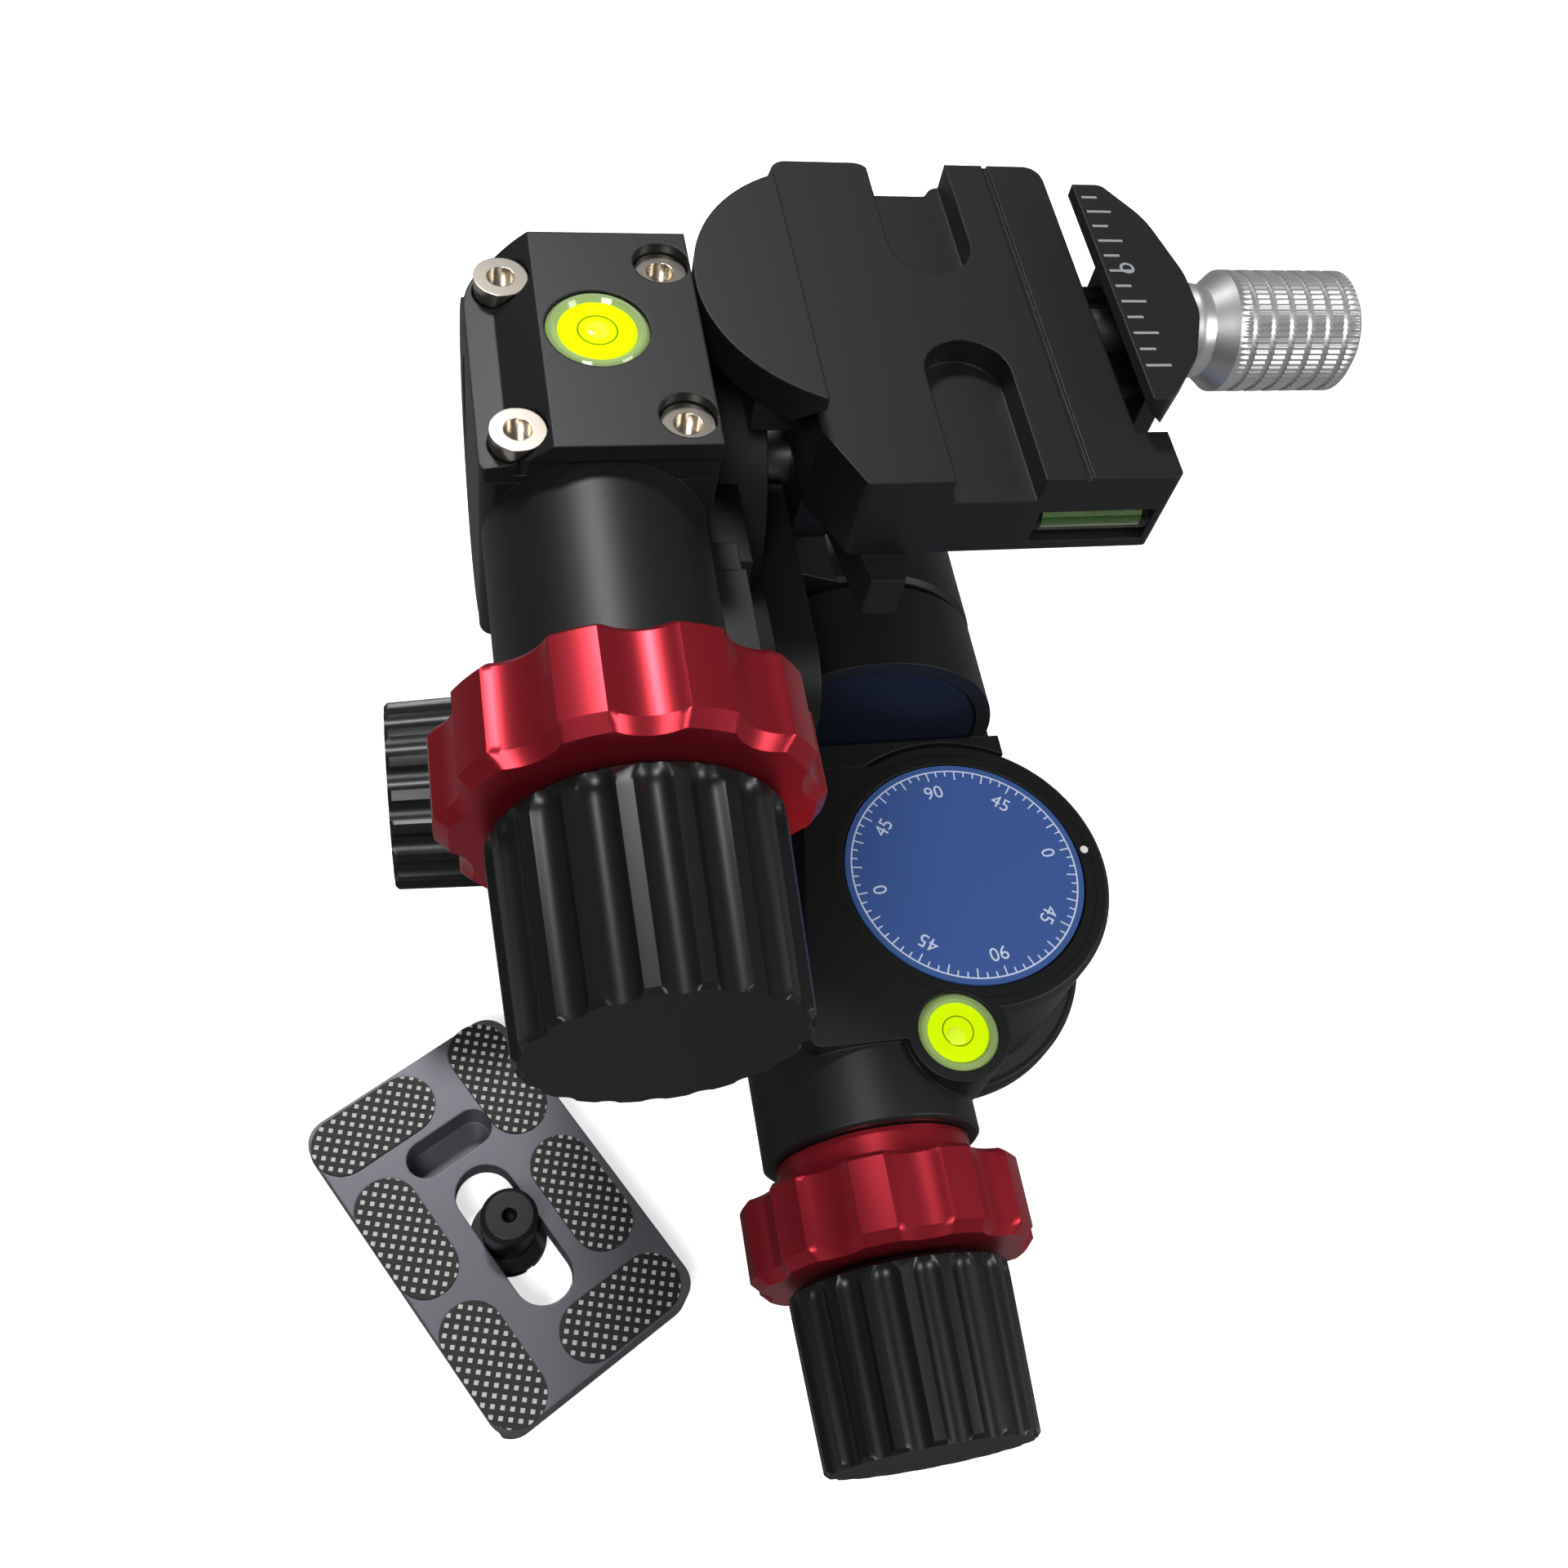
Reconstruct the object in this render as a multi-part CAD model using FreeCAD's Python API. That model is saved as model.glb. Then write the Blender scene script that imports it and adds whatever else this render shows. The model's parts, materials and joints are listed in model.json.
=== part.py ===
import FreeCAD, Part
import math
import os

# Geared tripod head: pan unit below, roll unit behind it, tilt unit with a quick-release clamp on top.
# Millimetres. Origin: centre of the base's bottom face, on the pan axis. +Z up, +X to the viewer's
# right, +Y away from the viewer.

# Clearances
SEAT = 0.02        # between pieces of one assembly that are pressed or bolted together
RUN = 0.08         # radial clearance of a shaft in its bore
AIR = 0.3          # gap between curved faces that move past each other

# Gearing, the same in the three units
WHEEL_TIP_R = 14.2
WHEEL_TOOTH = 1.2
WHEEL_TEETH = 48
WORM_TIP_R = 5.6
WORM_ROOT_R = 4.6
WORM_LENGTH = 16.0
WORM_SHAFT_R = 3.0
WORM_BUSH_LENGTH = 4.0
CENTRE_DISTANCE = WHEEL_TIP_R + AIR + WORM_TIP_R
WORM_PITCH = 2.0 * math.pi * WHEEL_TIP_R / (WHEEL_TEETH + 2)
WHEEL_ROOM_R = WHEEL_TIP_R + 1.0
WORM_BORE_R = WORM_TIP_R + 0.6

# Knob and clutch ring, the same on the three worm shafts
KNOB_R = 17.0
KNOB_END_R = 16.1
KNOB_LENGTH = 25.5
KNOB_BAND = 2.5
KNOB_EDGE = 0.6
KNOB_FLUTES = 18
FLUTE_R = 2.4
FLUTE_DEPTH = 1.1
SHAFT_IN_KNOB = 20.0
RING_R = 22.3
RING_LENGTH = 13.0
RING_EDGE = 1.6
RING_SCALLOPS = 10
SCALLOP_R = 7.0
SCALLOP_DEPTH = 1.8
RING_TO_KNOB = 1.2
RING_WEB = 3.5
RING_NECK_R = 15.5
NOSE_R = 8.0
SPRING_R = 11.0
SPRING_DEPTH = 1.8
SPRING_GAUGE = 0.6

# Socket-head screws
SMALL_SHANK_R = 1.5
SMALL_HEAD_R = 2.75
SMALL_HEAD = 3.0
SMALL_LENGTH = 13.0
SMALL_SOCKET_R = 1.3
LARGE_SHANK_R = 2.0
LARGE_HEAD_R = 3.4
LARGE_HEAD = 4.0
LARGE_LENGTH = 15.0
LARGE_SOCKET_R = 1.7

# Base and pan unit
BASE_R = 28.5
BASE_HEIGHT = 4.5
BASE_EDGE = 0.6
BUSH_R = 6.0
BUSH_LENGTH = 11.0
TRIPOD_THREAD_R = 4.0
FLANGE_R = 13.0
FLANGE_HEIGHT = 3.9
BASE_SCREW_CIRCLE = 9.6
WHEEL_SEAT_R = 8.5
PAN_WHEEL_WIDTH = 12.0
PAN_JOURNAL_R = 6.0
THRUST_HEIGHT = 0.5
THRUST_INNER_R = 19.0
THRUST_OUTER_R = 27.0
CASE_TOP = 32.7
CASE_R = 24.8
DIAL_R = 20.2
DIAL_THICKNESS = 1.5
NUT_R = 9.0
NUT_HEIGHT = 3.2
INDEX_DOT_R = 0.7
INDEX_DOT_X = CASE_R - 3.2
INDEX_DOT_Y = 2.2
VIAL_R = 6.5
VIAL_DEPTH = 5.9
VIAL_WALL = 0.9
PAN_VIAL_X = -7.5
PAN_VIAL_Y = -27.3
EAR_WALL = 1.7
EAR_DEPTH = 13.0
PAN_SADDLE_Y = -27.6
PAN_TUNNEL_R = 17.5
PAN_TUNNEL_END = -39.7
PAN_KNOB_BACK = -59.3
PAN_CASE_LEFT_FRONT = -31.5
PAN_CASE_LEFT_BACK = -23.5
PAN_CASE_RIGHT = 12.0
PAN_CASE_BACK = 21.0

# Roll unit
ROLL_X = -13.5
ROLL_Z = 33.5
ROLL_DRUM_R = 23.0
ROLL_DIAL_FACE = CASE_R + 1.1
ROLL_DIAL_THICKNESS = 0.7
ROLL_WHEEL_Y = ROLL_DIAL_FACE + ROLL_DIAL_THICKNESS + AIR + WORM_TIP_R
ROLL_CASE_BACK = ROLL_WHEEL_Y + 8.5
ROLL_WHEEL_WIDTH = 8.0
ROLL_PAD_DEPTH = 4.6
ROLL_JOURNAL_R = 12.0
ROLL_WEB = 4.0
ROLL_CASE_LEFT = -36.0
ROLL_TUNNEL_R = 11.5
ROLL_TUNNEL_END = -46.4
ROLL_KNOB_BACK = -66.0
ROLL_CASE_SCREWS = ((8.5, 25.0), (8.5, 10.0), (-33.3, 22.3))
ROLL_SCREW_REACH = 5.5
ARM_FRONT = ROLL_CASE_BACK + 1.5
ARM_BACK = ARM_FRONT + 23.5
ARM_DRUM_R = 23.2
ARM_ROOM_R = 17.5
ARM_FLOOR = ARM_FRONT + 7.5
ARM_SPIGOT_R = 7.5
ARM_SCREW_CIRCLE = 10.0
WALL_LEFT = -37.0
WALL_THICKNESS = 6.0
WALL_TOP = 79.0
WALL_FRONT = 6.0
WALL_UNDERSIDE = 52.0
WALL_CORNER_R = 9.0

# Tilt unit
TILT_Y = 50.0
TILT_Z = 78.0
TILT_WHEEL_X = -62.5
TILT_WHEEL_WIDTH = 8.0
TILT_DRUM_R = 22.5
TILT_DRUM_LEFT = -76.0
TILT_SHAFT_R = 6.0
TILT_TUNNEL_R = 14.0
TILT_TUNNEL_END = -9.4
TILT_KNOB_BACK = -24.2
TILT_TUNNEL_REAR = 63.5
BOX_LEFT = -76.8
BOX_RIGHT = -48.1
BOX_FRONT = 18.9
BOX_BACK = 54.5
BOX_CORNER_R = 9.0
COVER_TOP = 115.1
COVER_BOTTOM = 108.5
COVER_LIP = 0.6
PLATEAU_LEFT = -68.2
SHOULDER_X = -73.2
SHOULDER_Z = 111.4
COVER_SCREWS = ((-72.0, 22.5), (-51.8, 23.0), (-72.0, 48.0), (-51.8, 49.0))
COVER_SCREW_TOP = 113.6
TILT_VIAL_X = -61.1
TILT_VIAL_Y = 37.5
SHELF_RIGHT = -41.3
SHELF_TOP = 92.0
RIB_RIGHT = -44.0
RIB_TOP = 98.0
RIB_DEPTH = 4.0
RIB_FRONT = -3.0
RIB_BACK = 13.0
CASE_SCREWS = ((33.5, 72.0), (50.0, 60.8), (62.0, 65.5))

# Cradle and clamp
CRADLE_LEFT = -30.0
HOOK_HEIGHT = 7.0
HOOK_TIP = ((-27.2, 12.1), (-22.6, 11.9), (-20.0, 23.0))
HOOK_RIGHT = -18.0
HOOK_FRONT = 30.0
HOOK_BACK = 40.0
CRADLE_SCREWS = ((-19.5, 41.0), (-12.0, 60.0))
CRADLE_EAR = 6.0
CRADLE_EAR_R = 11.5
FOOT_BOTTOM = 90.0
FOOT_RIGHT = 0.0
FOOT_FRONT = 36.0
FOOT_BACK = 66.0
CLAMP_BOTTOM = 95.7
CLAMP_FLOOR = 109.5
JAW_TOP = 115.1
CLAMP_LEFT = -34.0
CLAMP_RIGHT = 13.0
CLAMP_SIDE = 8.5
CLAMP_FRONT = 16.5
CLAMP_BACK = 74.5
CLAMP_BUMP = 2.0
CLAMP_STEP = 24.3
SHELF_BACK = 66.0
CLAMP_POINTS = (
    (CLAMP_LEFT, 25.4),
    (-29.6, CLAMP_FRONT, 1.0),
    (CLAMP_RIGHT, CLAMP_FRONT, 1.0),
    (CLAMP_RIGHT, CLAMP_STEP),
    (CLAMP_SIDE, CLAMP_STEP),
    (CLAMP_SIDE, CLAMP_BACK - 1.0, 1.0),
    (8.0, CLAMP_BACK + CLAMP_BUMP, 2.5),
    (-7.2, CLAMP_BACK + CLAMP_BUMP, 2.5),
    (-8.6, CLAMP_BACK, 0.8),
    (-17.4, CLAMP_BACK, 0.8),
    (-18.8, CLAMP_BACK + CLAMP_BUMP, 2.5),
    (-31.5, CLAMP_BACK + CLAMP_BUMP, 2.5),
    (CLAMP_LEFT, CLAMP_BACK - 3.5, 2.0),
)
SLOT_X = -12.1
SLOT_WIDTH = 12.0
SLOT_DEPTH = 4.0
NEAR_SLOT_END = 41.2
FAR_SLOT_START = 54.0
GROOVE_WIDTH = 0.8
GROOVE_DEPTH = 0.4
FIXED_JAW_X = -25.5
FIXED_JAW_Y = 46.0
FIXED_JAW_R = 22.3
FIXED_JAW_SCREWS = ((-39.0, 39.5), (-39.0, 52.5))
LEDGE_LEFT = -41.0
LEDGE_BOTTOM = 101.5
LEDGE_FRONT = 33.0
LEDGE_BACK = 59.0
DOVETAIL = 3.2
LIP_FACE = 1.9
JAW_TRAVEL = 5.5
MOVING_JAW_X = 9.0
JAW_BLOCK_LEFT = 14.3
JAW_LIP_POINTS = (
    (MOVING_JAW_X, 24.8),
    (11.5, 24.8, 1.5),
    (17.4, 32.0, 9.0),
    (20.6, 40.5, 9.0),
    (20.6, 48.0, 12.0),
    (18.0, 59.0, 14.0),
    (13.3, 65.8, 1.5),
    (MOVING_JAW_X, 65.8),
)
JAW_BLOCK_POINTS = (
    (JAW_BLOCK_LEFT, 34.0),
    (17.4, 34.0, 1.0),
    (20.4, 42.0, 6.0),
    (20.4, 48.5, 6.0),
    (18.0, 58.5, 4.0),
    (JAW_BLOCK_LEFT, 60.0),
)
SCREW_Y = 47.0
SCREW_Z = 105.5
CLAMP_SCREW_R = 3.0
PIN_R = 1.2
PIN_YS = (37.5, 56.5)
PIN_Z = 103.4
TONGUE_BOTTOM = 96.9
TONGUE_TOP = 101.2
TONGUE_HALF = 6.0
TUBE_VIAL_R = 2.9
TUBE_VIAL_Y = 19.5
TUBE_VIAL_Z = 100.2
TUBE_VIAL_LEFT = -4.9
TUBE_VIAL_RIGHT = 11.3
CLAMP_KNOB_R = 8.4
CLAMP_KNOB_BACK = 21.0
CLAMP_KNOB_GRIP = 28.0
CLAMP_KNOB_END = 48.0

# Quick-release plate, lying loose beside the head
PLATE_X = -78.0
PLATE_Y = -32.7
PLATE_TURN = -60.3
PLATE_LENGTH = 62.0
PLATE_WIDTH = 39.6
PLATE_BOTTOM = -26.0
PLATE_THICKNESS = 8.5
PLATE_CORNER_R = 4.5
PLATE_RIM = 4.0
PLATE_WAIST = 17.2
PAD_DEPTH = 0.8
PAD_PROUD = 0.3
PAD_WIDTH = 10.5
PAD_LENGTH = 22.5
STUD_R = 4.76
STUD_HEIGHT = 7.0
STUD_NECK_R = 4.4
STUD_NECK_RISE = 0.5
STUD_HEAD_R = 6.6
STUD_HEAD_HEIGHT = 3.0
STUD_U = 3.0
MAIN_SLOT_START = -4.0
MAIN_SLOT_END = 13.0
CROSS_SLOT_U = -15.0
CROSS_SLOT_LENGTH = 16.0
CROSS_SLOT_WIDTH = 6.6
CROSS_SLOT_FLOOR = 1.5

X = FreeCAD.Vector(1, 0, 0)
Y = FreeCAD.Vector(0, 1, 0)
Z = FreeCAD.Vector(0, 0, 1)


def vec(x, y, z):
    return FreeCAD.Vector(x, y, z)


def box(x0, x1, y0, y1, z0, z1):
    return Part.makeBox(x1 - x0, y1 - y0, z1 - z0, vec(x0, y0, z0))


def rod(start, direction, radius, length):
    return Part.makeCylinder(radius, length, start, direction)


def joined(*shapes):
    solid = shapes[0].multiFuse(list(shapes[1:])) if len(shapes) > 1 else shapes[0]
    return solid.removeSplitter()


def group(solids):
    return Part.makeCompound(list(solids))


def turned(profile, origin=None, axis=Z):
    """Solid of revolution; profile holds (radius, height) pairs, height measured along axis."""
    points = [vec(radius, 0, height) for radius, height in profile]
    face = Part.Face(Part.makePolygon(points + [points[0]]))
    solid = face.revolve(vec(0, 0, 0), Z, 360)
    solid.Placement = FreeCAD.Placement(origin or vec(0, 0, 0), FreeCAD.Rotation(Z, axis))
    return solid


def outline(points):
    """Closed wire in the XY plane; each point is (x, y) or (x, y, corner radius)."""
    edges = []
    ends = []
    count = len(points)
    for i in range(count):
        here = vec(points[i][0], points[i][1], 0)
        radius = points[i][2] if len(points[i]) > 2 else 0
        before = vec(points[i - 1][0], points[i - 1][1], 0) - here
        after = vec(points[(i + 1) % count][0], points[(i + 1) % count][1], 0) - here
        if not radius:
            ends.append((here, here, None))
            continue
        half = before.getAngle(after) / 2
        reach = radius / math.tan(half)
        before.normalize()
        after.normalize()
        middle = before + after
        middle.normalize()
        apex = here + middle * (radius / math.sin(half) - radius)
        ends.append((here + before * reach, here + after * reach, apex))
    for i in range(count):
        start, stop, apex = ends[i]
        if apex:
            edges.append(Part.Arc(start, apex, stop).toShape())
        following = ends[(i + 1) % count][0]
        if (following - stop).Length > 1e-6:
            edges.append(Part.LineSegment(stop, following).toShape())
    return Part.Wire(edges)


def plate(points, z0, z1):
    face = Part.Face(outline(points))
    face.translate(vec(0, 0, z0))
    return face.extrude(vec(0, 0, z1 - z0))


def side_plate(points, x0, x1):
    """Outline given as (y, z) pairs, extruded along X."""
    solid = Part.Face(outline(points)).extrude(vec(0, 0, x1 - x0))
    turn = FreeCAD.Matrix(0, 0, 1, x0, 1, 0, 0, 0, 0, 1, 0, 0, 0, 0, 0, 1)
    return moved_by(solid, turn)


def front_plate(points, y0, y1):
    """Outline given as (x, z) pairs, extruded along Y."""
    solid = Part.Face(outline(points)).extrude(vec(0, 0, y0 - y1))
    turn = FreeCAD.Matrix(1, 0, 0, 0, 0, 0, -1, y0, 0, 1, 0, 0, 0, 0, 0, 1)
    return moved_by(solid, turn)


def moved_by(solid, matrix):
    solid.Placement = FreeCAD.Placement(matrix)
    return solid


def ring_of(count, make):
    return [make(2 * math.pi * i / count) for i in range(count)]


def screw(head, direction, shank_r, head_r, head_height, length, socket_r):
    """Socket-head screw; head is the centre of its top face, direction points along the shank."""
    solid = joined(
        rod(head, direction, head_r, head_height),
        rod(head, direction, shank_r, length),
    )
    return solid.cut(rod(head, direction, socket_r, head_height * 0.6))


def screw_room(head, direction, shank_r, head_r, head_height, length):
    """Counterbore and hole for screw(), open above the head."""
    above = head - direction * 40
    return joined(
        rod(above, direction, head_r + 0.2, head_height + 40),
        rod(head, direction, shank_r + SEAT, length + 0.2),
    )


def gear_wheel(bore_r, width):
    """Worm wheel centred on the origin, axis along Z."""
    root_r = WHEEL_TIP_R - WHEEL_TOOTH
    step = 2 * math.pi / WHEEL_TEETH
    points = []
    for i in range(WHEEL_TEETH):
        for share, radius in ((0.0, root_r), (0.34, root_r), (0.5, WHEEL_TIP_R), (0.84, WHEEL_TIP_R)):
            angle = (i + share) * step
            points.append((radius * math.cos(angle), radius * math.sin(angle)))
    solid = plate(points, -width / 2, width / 2)
    return solid.cut(rod(vec(0, 0, -width), Z, bore_r, 2 * width))


# Parts of one worm drive, in the drive's own frame: Z points outwards along the worm shaft,
# and zero is the middle of the worm, beside its wheel.

def worm(knob_back):
    turns = WORM_LENGTH - 2 * WORM_PITCH
    helix = Part.makeHelix(WORM_PITCH, turns, WORM_ROOT_R)
    flank = 0.28 * WORM_PITCH
    crest = 0.12 * WORM_PITCH
    inner = WORM_ROOT_R - 0.15
    section = [(inner, -flank), (WORM_TIP_R, -crest), (WORM_TIP_R, crest), (inner, flank)]
    points = [vec(radius, 0, height) for radius, height in section]
    tooth = Part.makePolygon(points + [points[0]])
    thread = Part.Wire(helix).makePipeShell([tooth], True, True)
    thread.translate(vec(0, 0, -turns / 2))
    core = rod(vec(0, 0, -WORM_LENGTH / 2), Z, WORM_ROOT_R, WORM_LENGTH)
    tail = WORM_LENGTH / 2 + 2 + WORM_BUSH_LENGTH
    shaft = rod(vec(0, 0, -tail), Z, WORM_SHAFT_R, tail + knob_back + SHAFT_IN_KNOB)
    return core.fuse(thread).fuse(shaft)


def worm_bushes(knob_back):
    rear = -WORM_LENGTH / 2 - 2 - WORM_BUSH_LENGTH
    front = nose_end(knob_back) - WORM_BUSH_LENGTH
    made = []
    for start in (rear, front):
        sleeve = rod(vec(0, 0, start), Z, WORM_BORE_R - SEAT, WORM_BUSH_LENGTH)
        made.append(sleeve.cut(rod(vec(0, 0, start), Z, WORM_SHAFT_R + RUN, WORM_BUSH_LENGTH)))
    return group(made)


def worm_bore(knob_back):
    rear = -WORM_LENGTH / 2 - 2 - WORM_BUSH_LENGTH - 0.2
    return rod(vec(0, 0, rear), Z, WORM_BORE_R, nose_end(knob_back) - rear + 0.01)


def ring_front(knob_back):
    return knob_back - RING_TO_KNOB


def nose_end(knob_back):
    return ring_front(knob_back) - RING_WEB - AIR


def tunnel(tunnel_end, radius, start, knob_back):
    """Worm tunnel from start to its end face, and the nose that carries the clutch ring."""
    edge = 0.5
    body = turned((
        (0, start),
        (radius, start),
        (radius, tunnel_end - edge),
        (radius - edge, tunnel_end),
        (NOSE_R, tunnel_end),
        (NOSE_R, nose_end(knob_back)),
        (0, nose_end(knob_back)),
    ))
    return body


def knob(knob_back):
    end = knob_back + KNOB_LENGTH
    flute_start = knob_back + KNOB_BAND
    body = turned((
        (0, knob_back),
        (KNOB_R - KNOB_EDGE, knob_back),
        (KNOB_R, knob_back + KNOB_EDGE),
        (KNOB_R, flute_start),
        (KNOB_END_R, end - KNOB_EDGE),
        (KNOB_END_R - KNOB_EDGE, end),
        (0, end),
    ))
    lean = math.atan2(KNOB_R - KNOB_END_R, end - KNOB_EDGE - flute_start)
    reach = KNOB_R + FLUTE_R - FLUTE_DEPTH

    def flute(angle):
        start = vec(reach * math.cos(angle), reach * math.sin(angle), flute_start)
        inwards = vec(-math.cos(angle) * math.sin(lean), -math.sin(angle) * math.sin(lean), math.cos(lean))
        return rod(start, inwards, FLUTE_R, KNOB_LENGTH).fuse(Part.makeSphere(FLUTE_R, start))

    body = body.cut(group(ring_of(KNOB_FLUTES, flute)))
    return body.cut(rod(vec(0, 0, knob_back), Z, WORM_SHAFT_R + SEAT, SHAFT_IN_KNOB + 0.2))


def clutch_ring(knob_back, tunnel_end):
    front = ring_front(knob_back)
    back = front - RING_LENGTH
    neck = tunnel_end + AIR
    profile = [
        (NOSE_R + AIR, neck),
        (RING_NECK_R, neck),
        (RING_NECK_R, back),
        (RING_R - RING_EDGE / 2, back),
        (RING_R, back + RING_EDGE / 2),
        (RING_R, front - RING_EDGE),
        (RING_R - RING_EDGE, front),
        (SPRING_R + 0.4, front),
        (SPRING_R + 0.4, front - SPRING_DEPTH),
        (WORM_SHAFT_R + 0.5, front - SPRING_DEPTH),
        (WORM_SHAFT_R + 0.5, front - RING_WEB),
        (NOSE_R + AIR, front - RING_WEB),
    ]
    if back - neck < 1:
        profile[1:3] = []
        profile[0] = (NOSE_R + AIR, back)
    body = turned(profile)
    reach = RING_R + SCALLOP_R - SCALLOP_DEPTH

    def scallop(angle):
        foot = vec(reach * math.cos(angle), reach * math.sin(angle), back - 1)
        return rod(foot, Z, SCALLOP_R, RING_LENGTH + 2)

    return body.cut(group(ring_of(RING_SCALLOPS, scallop)))


def clutch_spring(knob_back):
    floor = ring_front(knob_back) - SPRING_DEPTH
    inner = WORM_SHAFT_R + 0.9
    rise = SPRING_DEPTH - SPRING_GAUGE - AIR
    return turned((
        (inner, floor + rise),
        (SPRING_R, floor),
        (SPRING_R, floor + SPRING_GAUGE),
        (inner, floor + rise + SPRING_GAUGE),
    ))


class Drive:
    """Where one worm drive stands: the middle of its worm and the way its shaft points."""

    def __init__(self, centre, outwards, knob_back, tunnel_end):
        self.centre = centre
        self.outwards = outwards
        along = centre.dot(outwards)
        self.knob_back = knob_back - along
        self.tunnel_end = tunnel_end - along

    def put(self, shape):
        shape = shape.copy()
        turn = FreeCAD.Placement(self.centre, FreeCAD.Rotation(Z, self.outwards))
        shape.Placement = turn.multiply(shape.Placement)
        return shape

    def housing(self, radius, start):
        return self.put(tunnel(self.tunnel_end, radius, start, self.knob_back))

    def bore(self):
        return self.put(worm_bore(self.knob_back))

    def pieces(self, unit):
        return {
            unit + "_worm": self.put(worm(self.knob_back)),
            unit + "_worm_bushes": self.put(worm_bushes(self.knob_back)),
            unit + "_knob": self.put(knob(self.knob_back)),
            unit + "_clutch_ring": self.put(clutch_ring(self.knob_back, self.tunnel_end)),
            unit + "_clutch_spring": self.put(clutch_spring(self.knob_back)),
        }


PAN_WORM_Z = BASE_HEIGHT + FLANGE_HEIGHT + PAN_WHEEL_WIDTH / 2
PAN_DRIVE = Drive(vec(-CENTRE_DISTANCE, 0, PAN_WORM_Z), -Y, -PAN_KNOB_BACK, -PAN_TUNNEL_END)
ROLL_DRIVE = Drive(vec(ROLL_X, ROLL_WHEEL_Y, ROLL_Z - CENTRE_DISTANCE), -X, -ROLL_KNOB_BACK, -ROLL_TUNNEL_END)
TILT_DRIVE = Drive(vec(TILT_WHEEL_X, TILT_Y, TILT_Z + CENTRE_DISTANCE), -Y, -TILT_KNOB_BACK, -TILT_TUNNEL_END)


# Base

FLANGE_TOP = BASE_HEIGHT + FLANGE_HEIGHT
WHEEL_TOP = FLANGE_TOP + PAN_WHEEL_WIDTH
NUT_BOTTOM = CASE_TOP - DIAL_THICKNESS - NUT_HEIGHT
SPINDLE_TOP = CASE_TOP - DIAL_THICKNESS


def base_screw(angle, grow=0.0):
    x = BASE_SCREW_CIRCLE * math.cos(angle)
    y = BASE_SCREW_CIRCLE * math.sin(angle)
    return turned((
        (0, 0.1 - grow),
        (2.9 + grow, 0.1 - grow),
        (1.5 + grow, 1.6),
        (1.5 + grow, FLANGE_TOP - 0.8 + grow),
        (0, FLANGE_TOP - 0.8 + grow),
    ), vec(x, y, 0))


def base_screws():
    return group(ring_of(3, base_screw))


def base_screw_holes():
    return group(ring_of(3, lambda angle: base_screw(angle, SEAT)))


def base_plate():
    body = turned((
        (BUSH_R + SEAT, 0),
        (BASE_R - BASE_EDGE, 0),
        (BASE_R, BASE_EDGE),
        (BASE_R, BASE_HEIGHT - BASE_EDGE),
        (BASE_R - BASE_EDGE, BASE_HEIGHT),
        (BUSH_R + SEAT, BASE_HEIGHT),
    ))
    openings = ring_of(3, lambda angle: rod(
        vec(BASE_SCREW_CIRCLE * math.cos(angle), BASE_SCREW_CIRCLE * math.sin(angle), -1), Z, 2.9, 1.1))
    return body.cut(base_screw_holes()).cut(group(openings))


def base_thread_bush():
    return turned((
        (TRIPOD_THREAD_R, 0),
        (BUSH_R, 0),
        (BUSH_R, BUSH_LENGTH),
        (TRIPOD_THREAD_R, BUSH_LENGTH),
    ))


def pan_spindle():
    body = turned((
        (BUSH_R + SEAT, BASE_HEIGHT),
        (FLANGE_R, BASE_HEIGHT),
        (FLANGE_R, FLANGE_TOP),
        (WHEEL_SEAT_R, FLANGE_TOP),
        (WHEEL_SEAT_R, WHEEL_TOP),
        (PAN_JOURNAL_R, WHEEL_TOP),
        (PAN_JOURNAL_R, SPINDLE_TOP),
        (0, SPINDLE_TOP),
        (0, BUSH_LENGTH + 1),
        (BUSH_R + SEAT, BUSH_LENGTH + 1),
    ))
    return body.cut(base_screw_holes())


def pan_wheel():
    wheel = gear_wheel(WHEEL_SEAT_R + SEAT, PAN_WHEEL_WIDTH)
    wheel.translate(vec(0, 0, PAN_WORM_Z))
    return wheel


def pan_thrust_ring():
    return turned((
        (THRUST_INNER_R, BASE_HEIGHT),
        (THRUST_OUTER_R, BASE_HEIGHT),
        (THRUST_OUTER_R, BASE_HEIGHT + THRUST_HEIGHT),
        (THRUST_INNER_R, BASE_HEIGHT + THRUST_HEIGHT),
    ))


def pan_spindle_nut():
    return turned((
        (PAN_JOURNAL_R + SEAT, NUT_BOTTOM),
        (NUT_R, NUT_BOTTOM),
        (NUT_R, SPINDLE_TOP),
        (PAN_JOURNAL_R + SEAT, SPINDLE_TOP),
    ))


def pan_dial():
    return rod(vec(0, 0, SPINDLE_TOP), Z, DIAL_R, DIAL_THICKNESS)


# Pan unit

CASE_BOTTOM = BASE_HEIGHT + THRUST_HEIGHT


def vial_cup(x, y, top):
    bottom = top - VIAL_DEPTH
    return turned((
        (0, bottom),
        (VIAL_R - SEAT, bottom),
        (VIAL_R - SEAT, top - 0.4),
        (VIAL_R - 0.4, top),
        (VIAL_R - VIAL_WALL, top),
        (VIAL_R - VIAL_WALL, bottom + VIAL_WALL),
        (0, bottom + VIAL_WALL),
    ), vec(x, y, 0))


def vial_fluid(x, y, top):
    bottom = top - VIAL_DEPTH + VIAL_WALL
    return rod(vec(x, y, bottom), Z, VIAL_R - VIAL_WALL - SEAT, top - 0.5 - bottom)


def vial_room(x, y, top):
    return rod(vec(x, y, top - VIAL_DEPTH), Z, VIAL_R, VIAL_DEPTH + 20)


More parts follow.
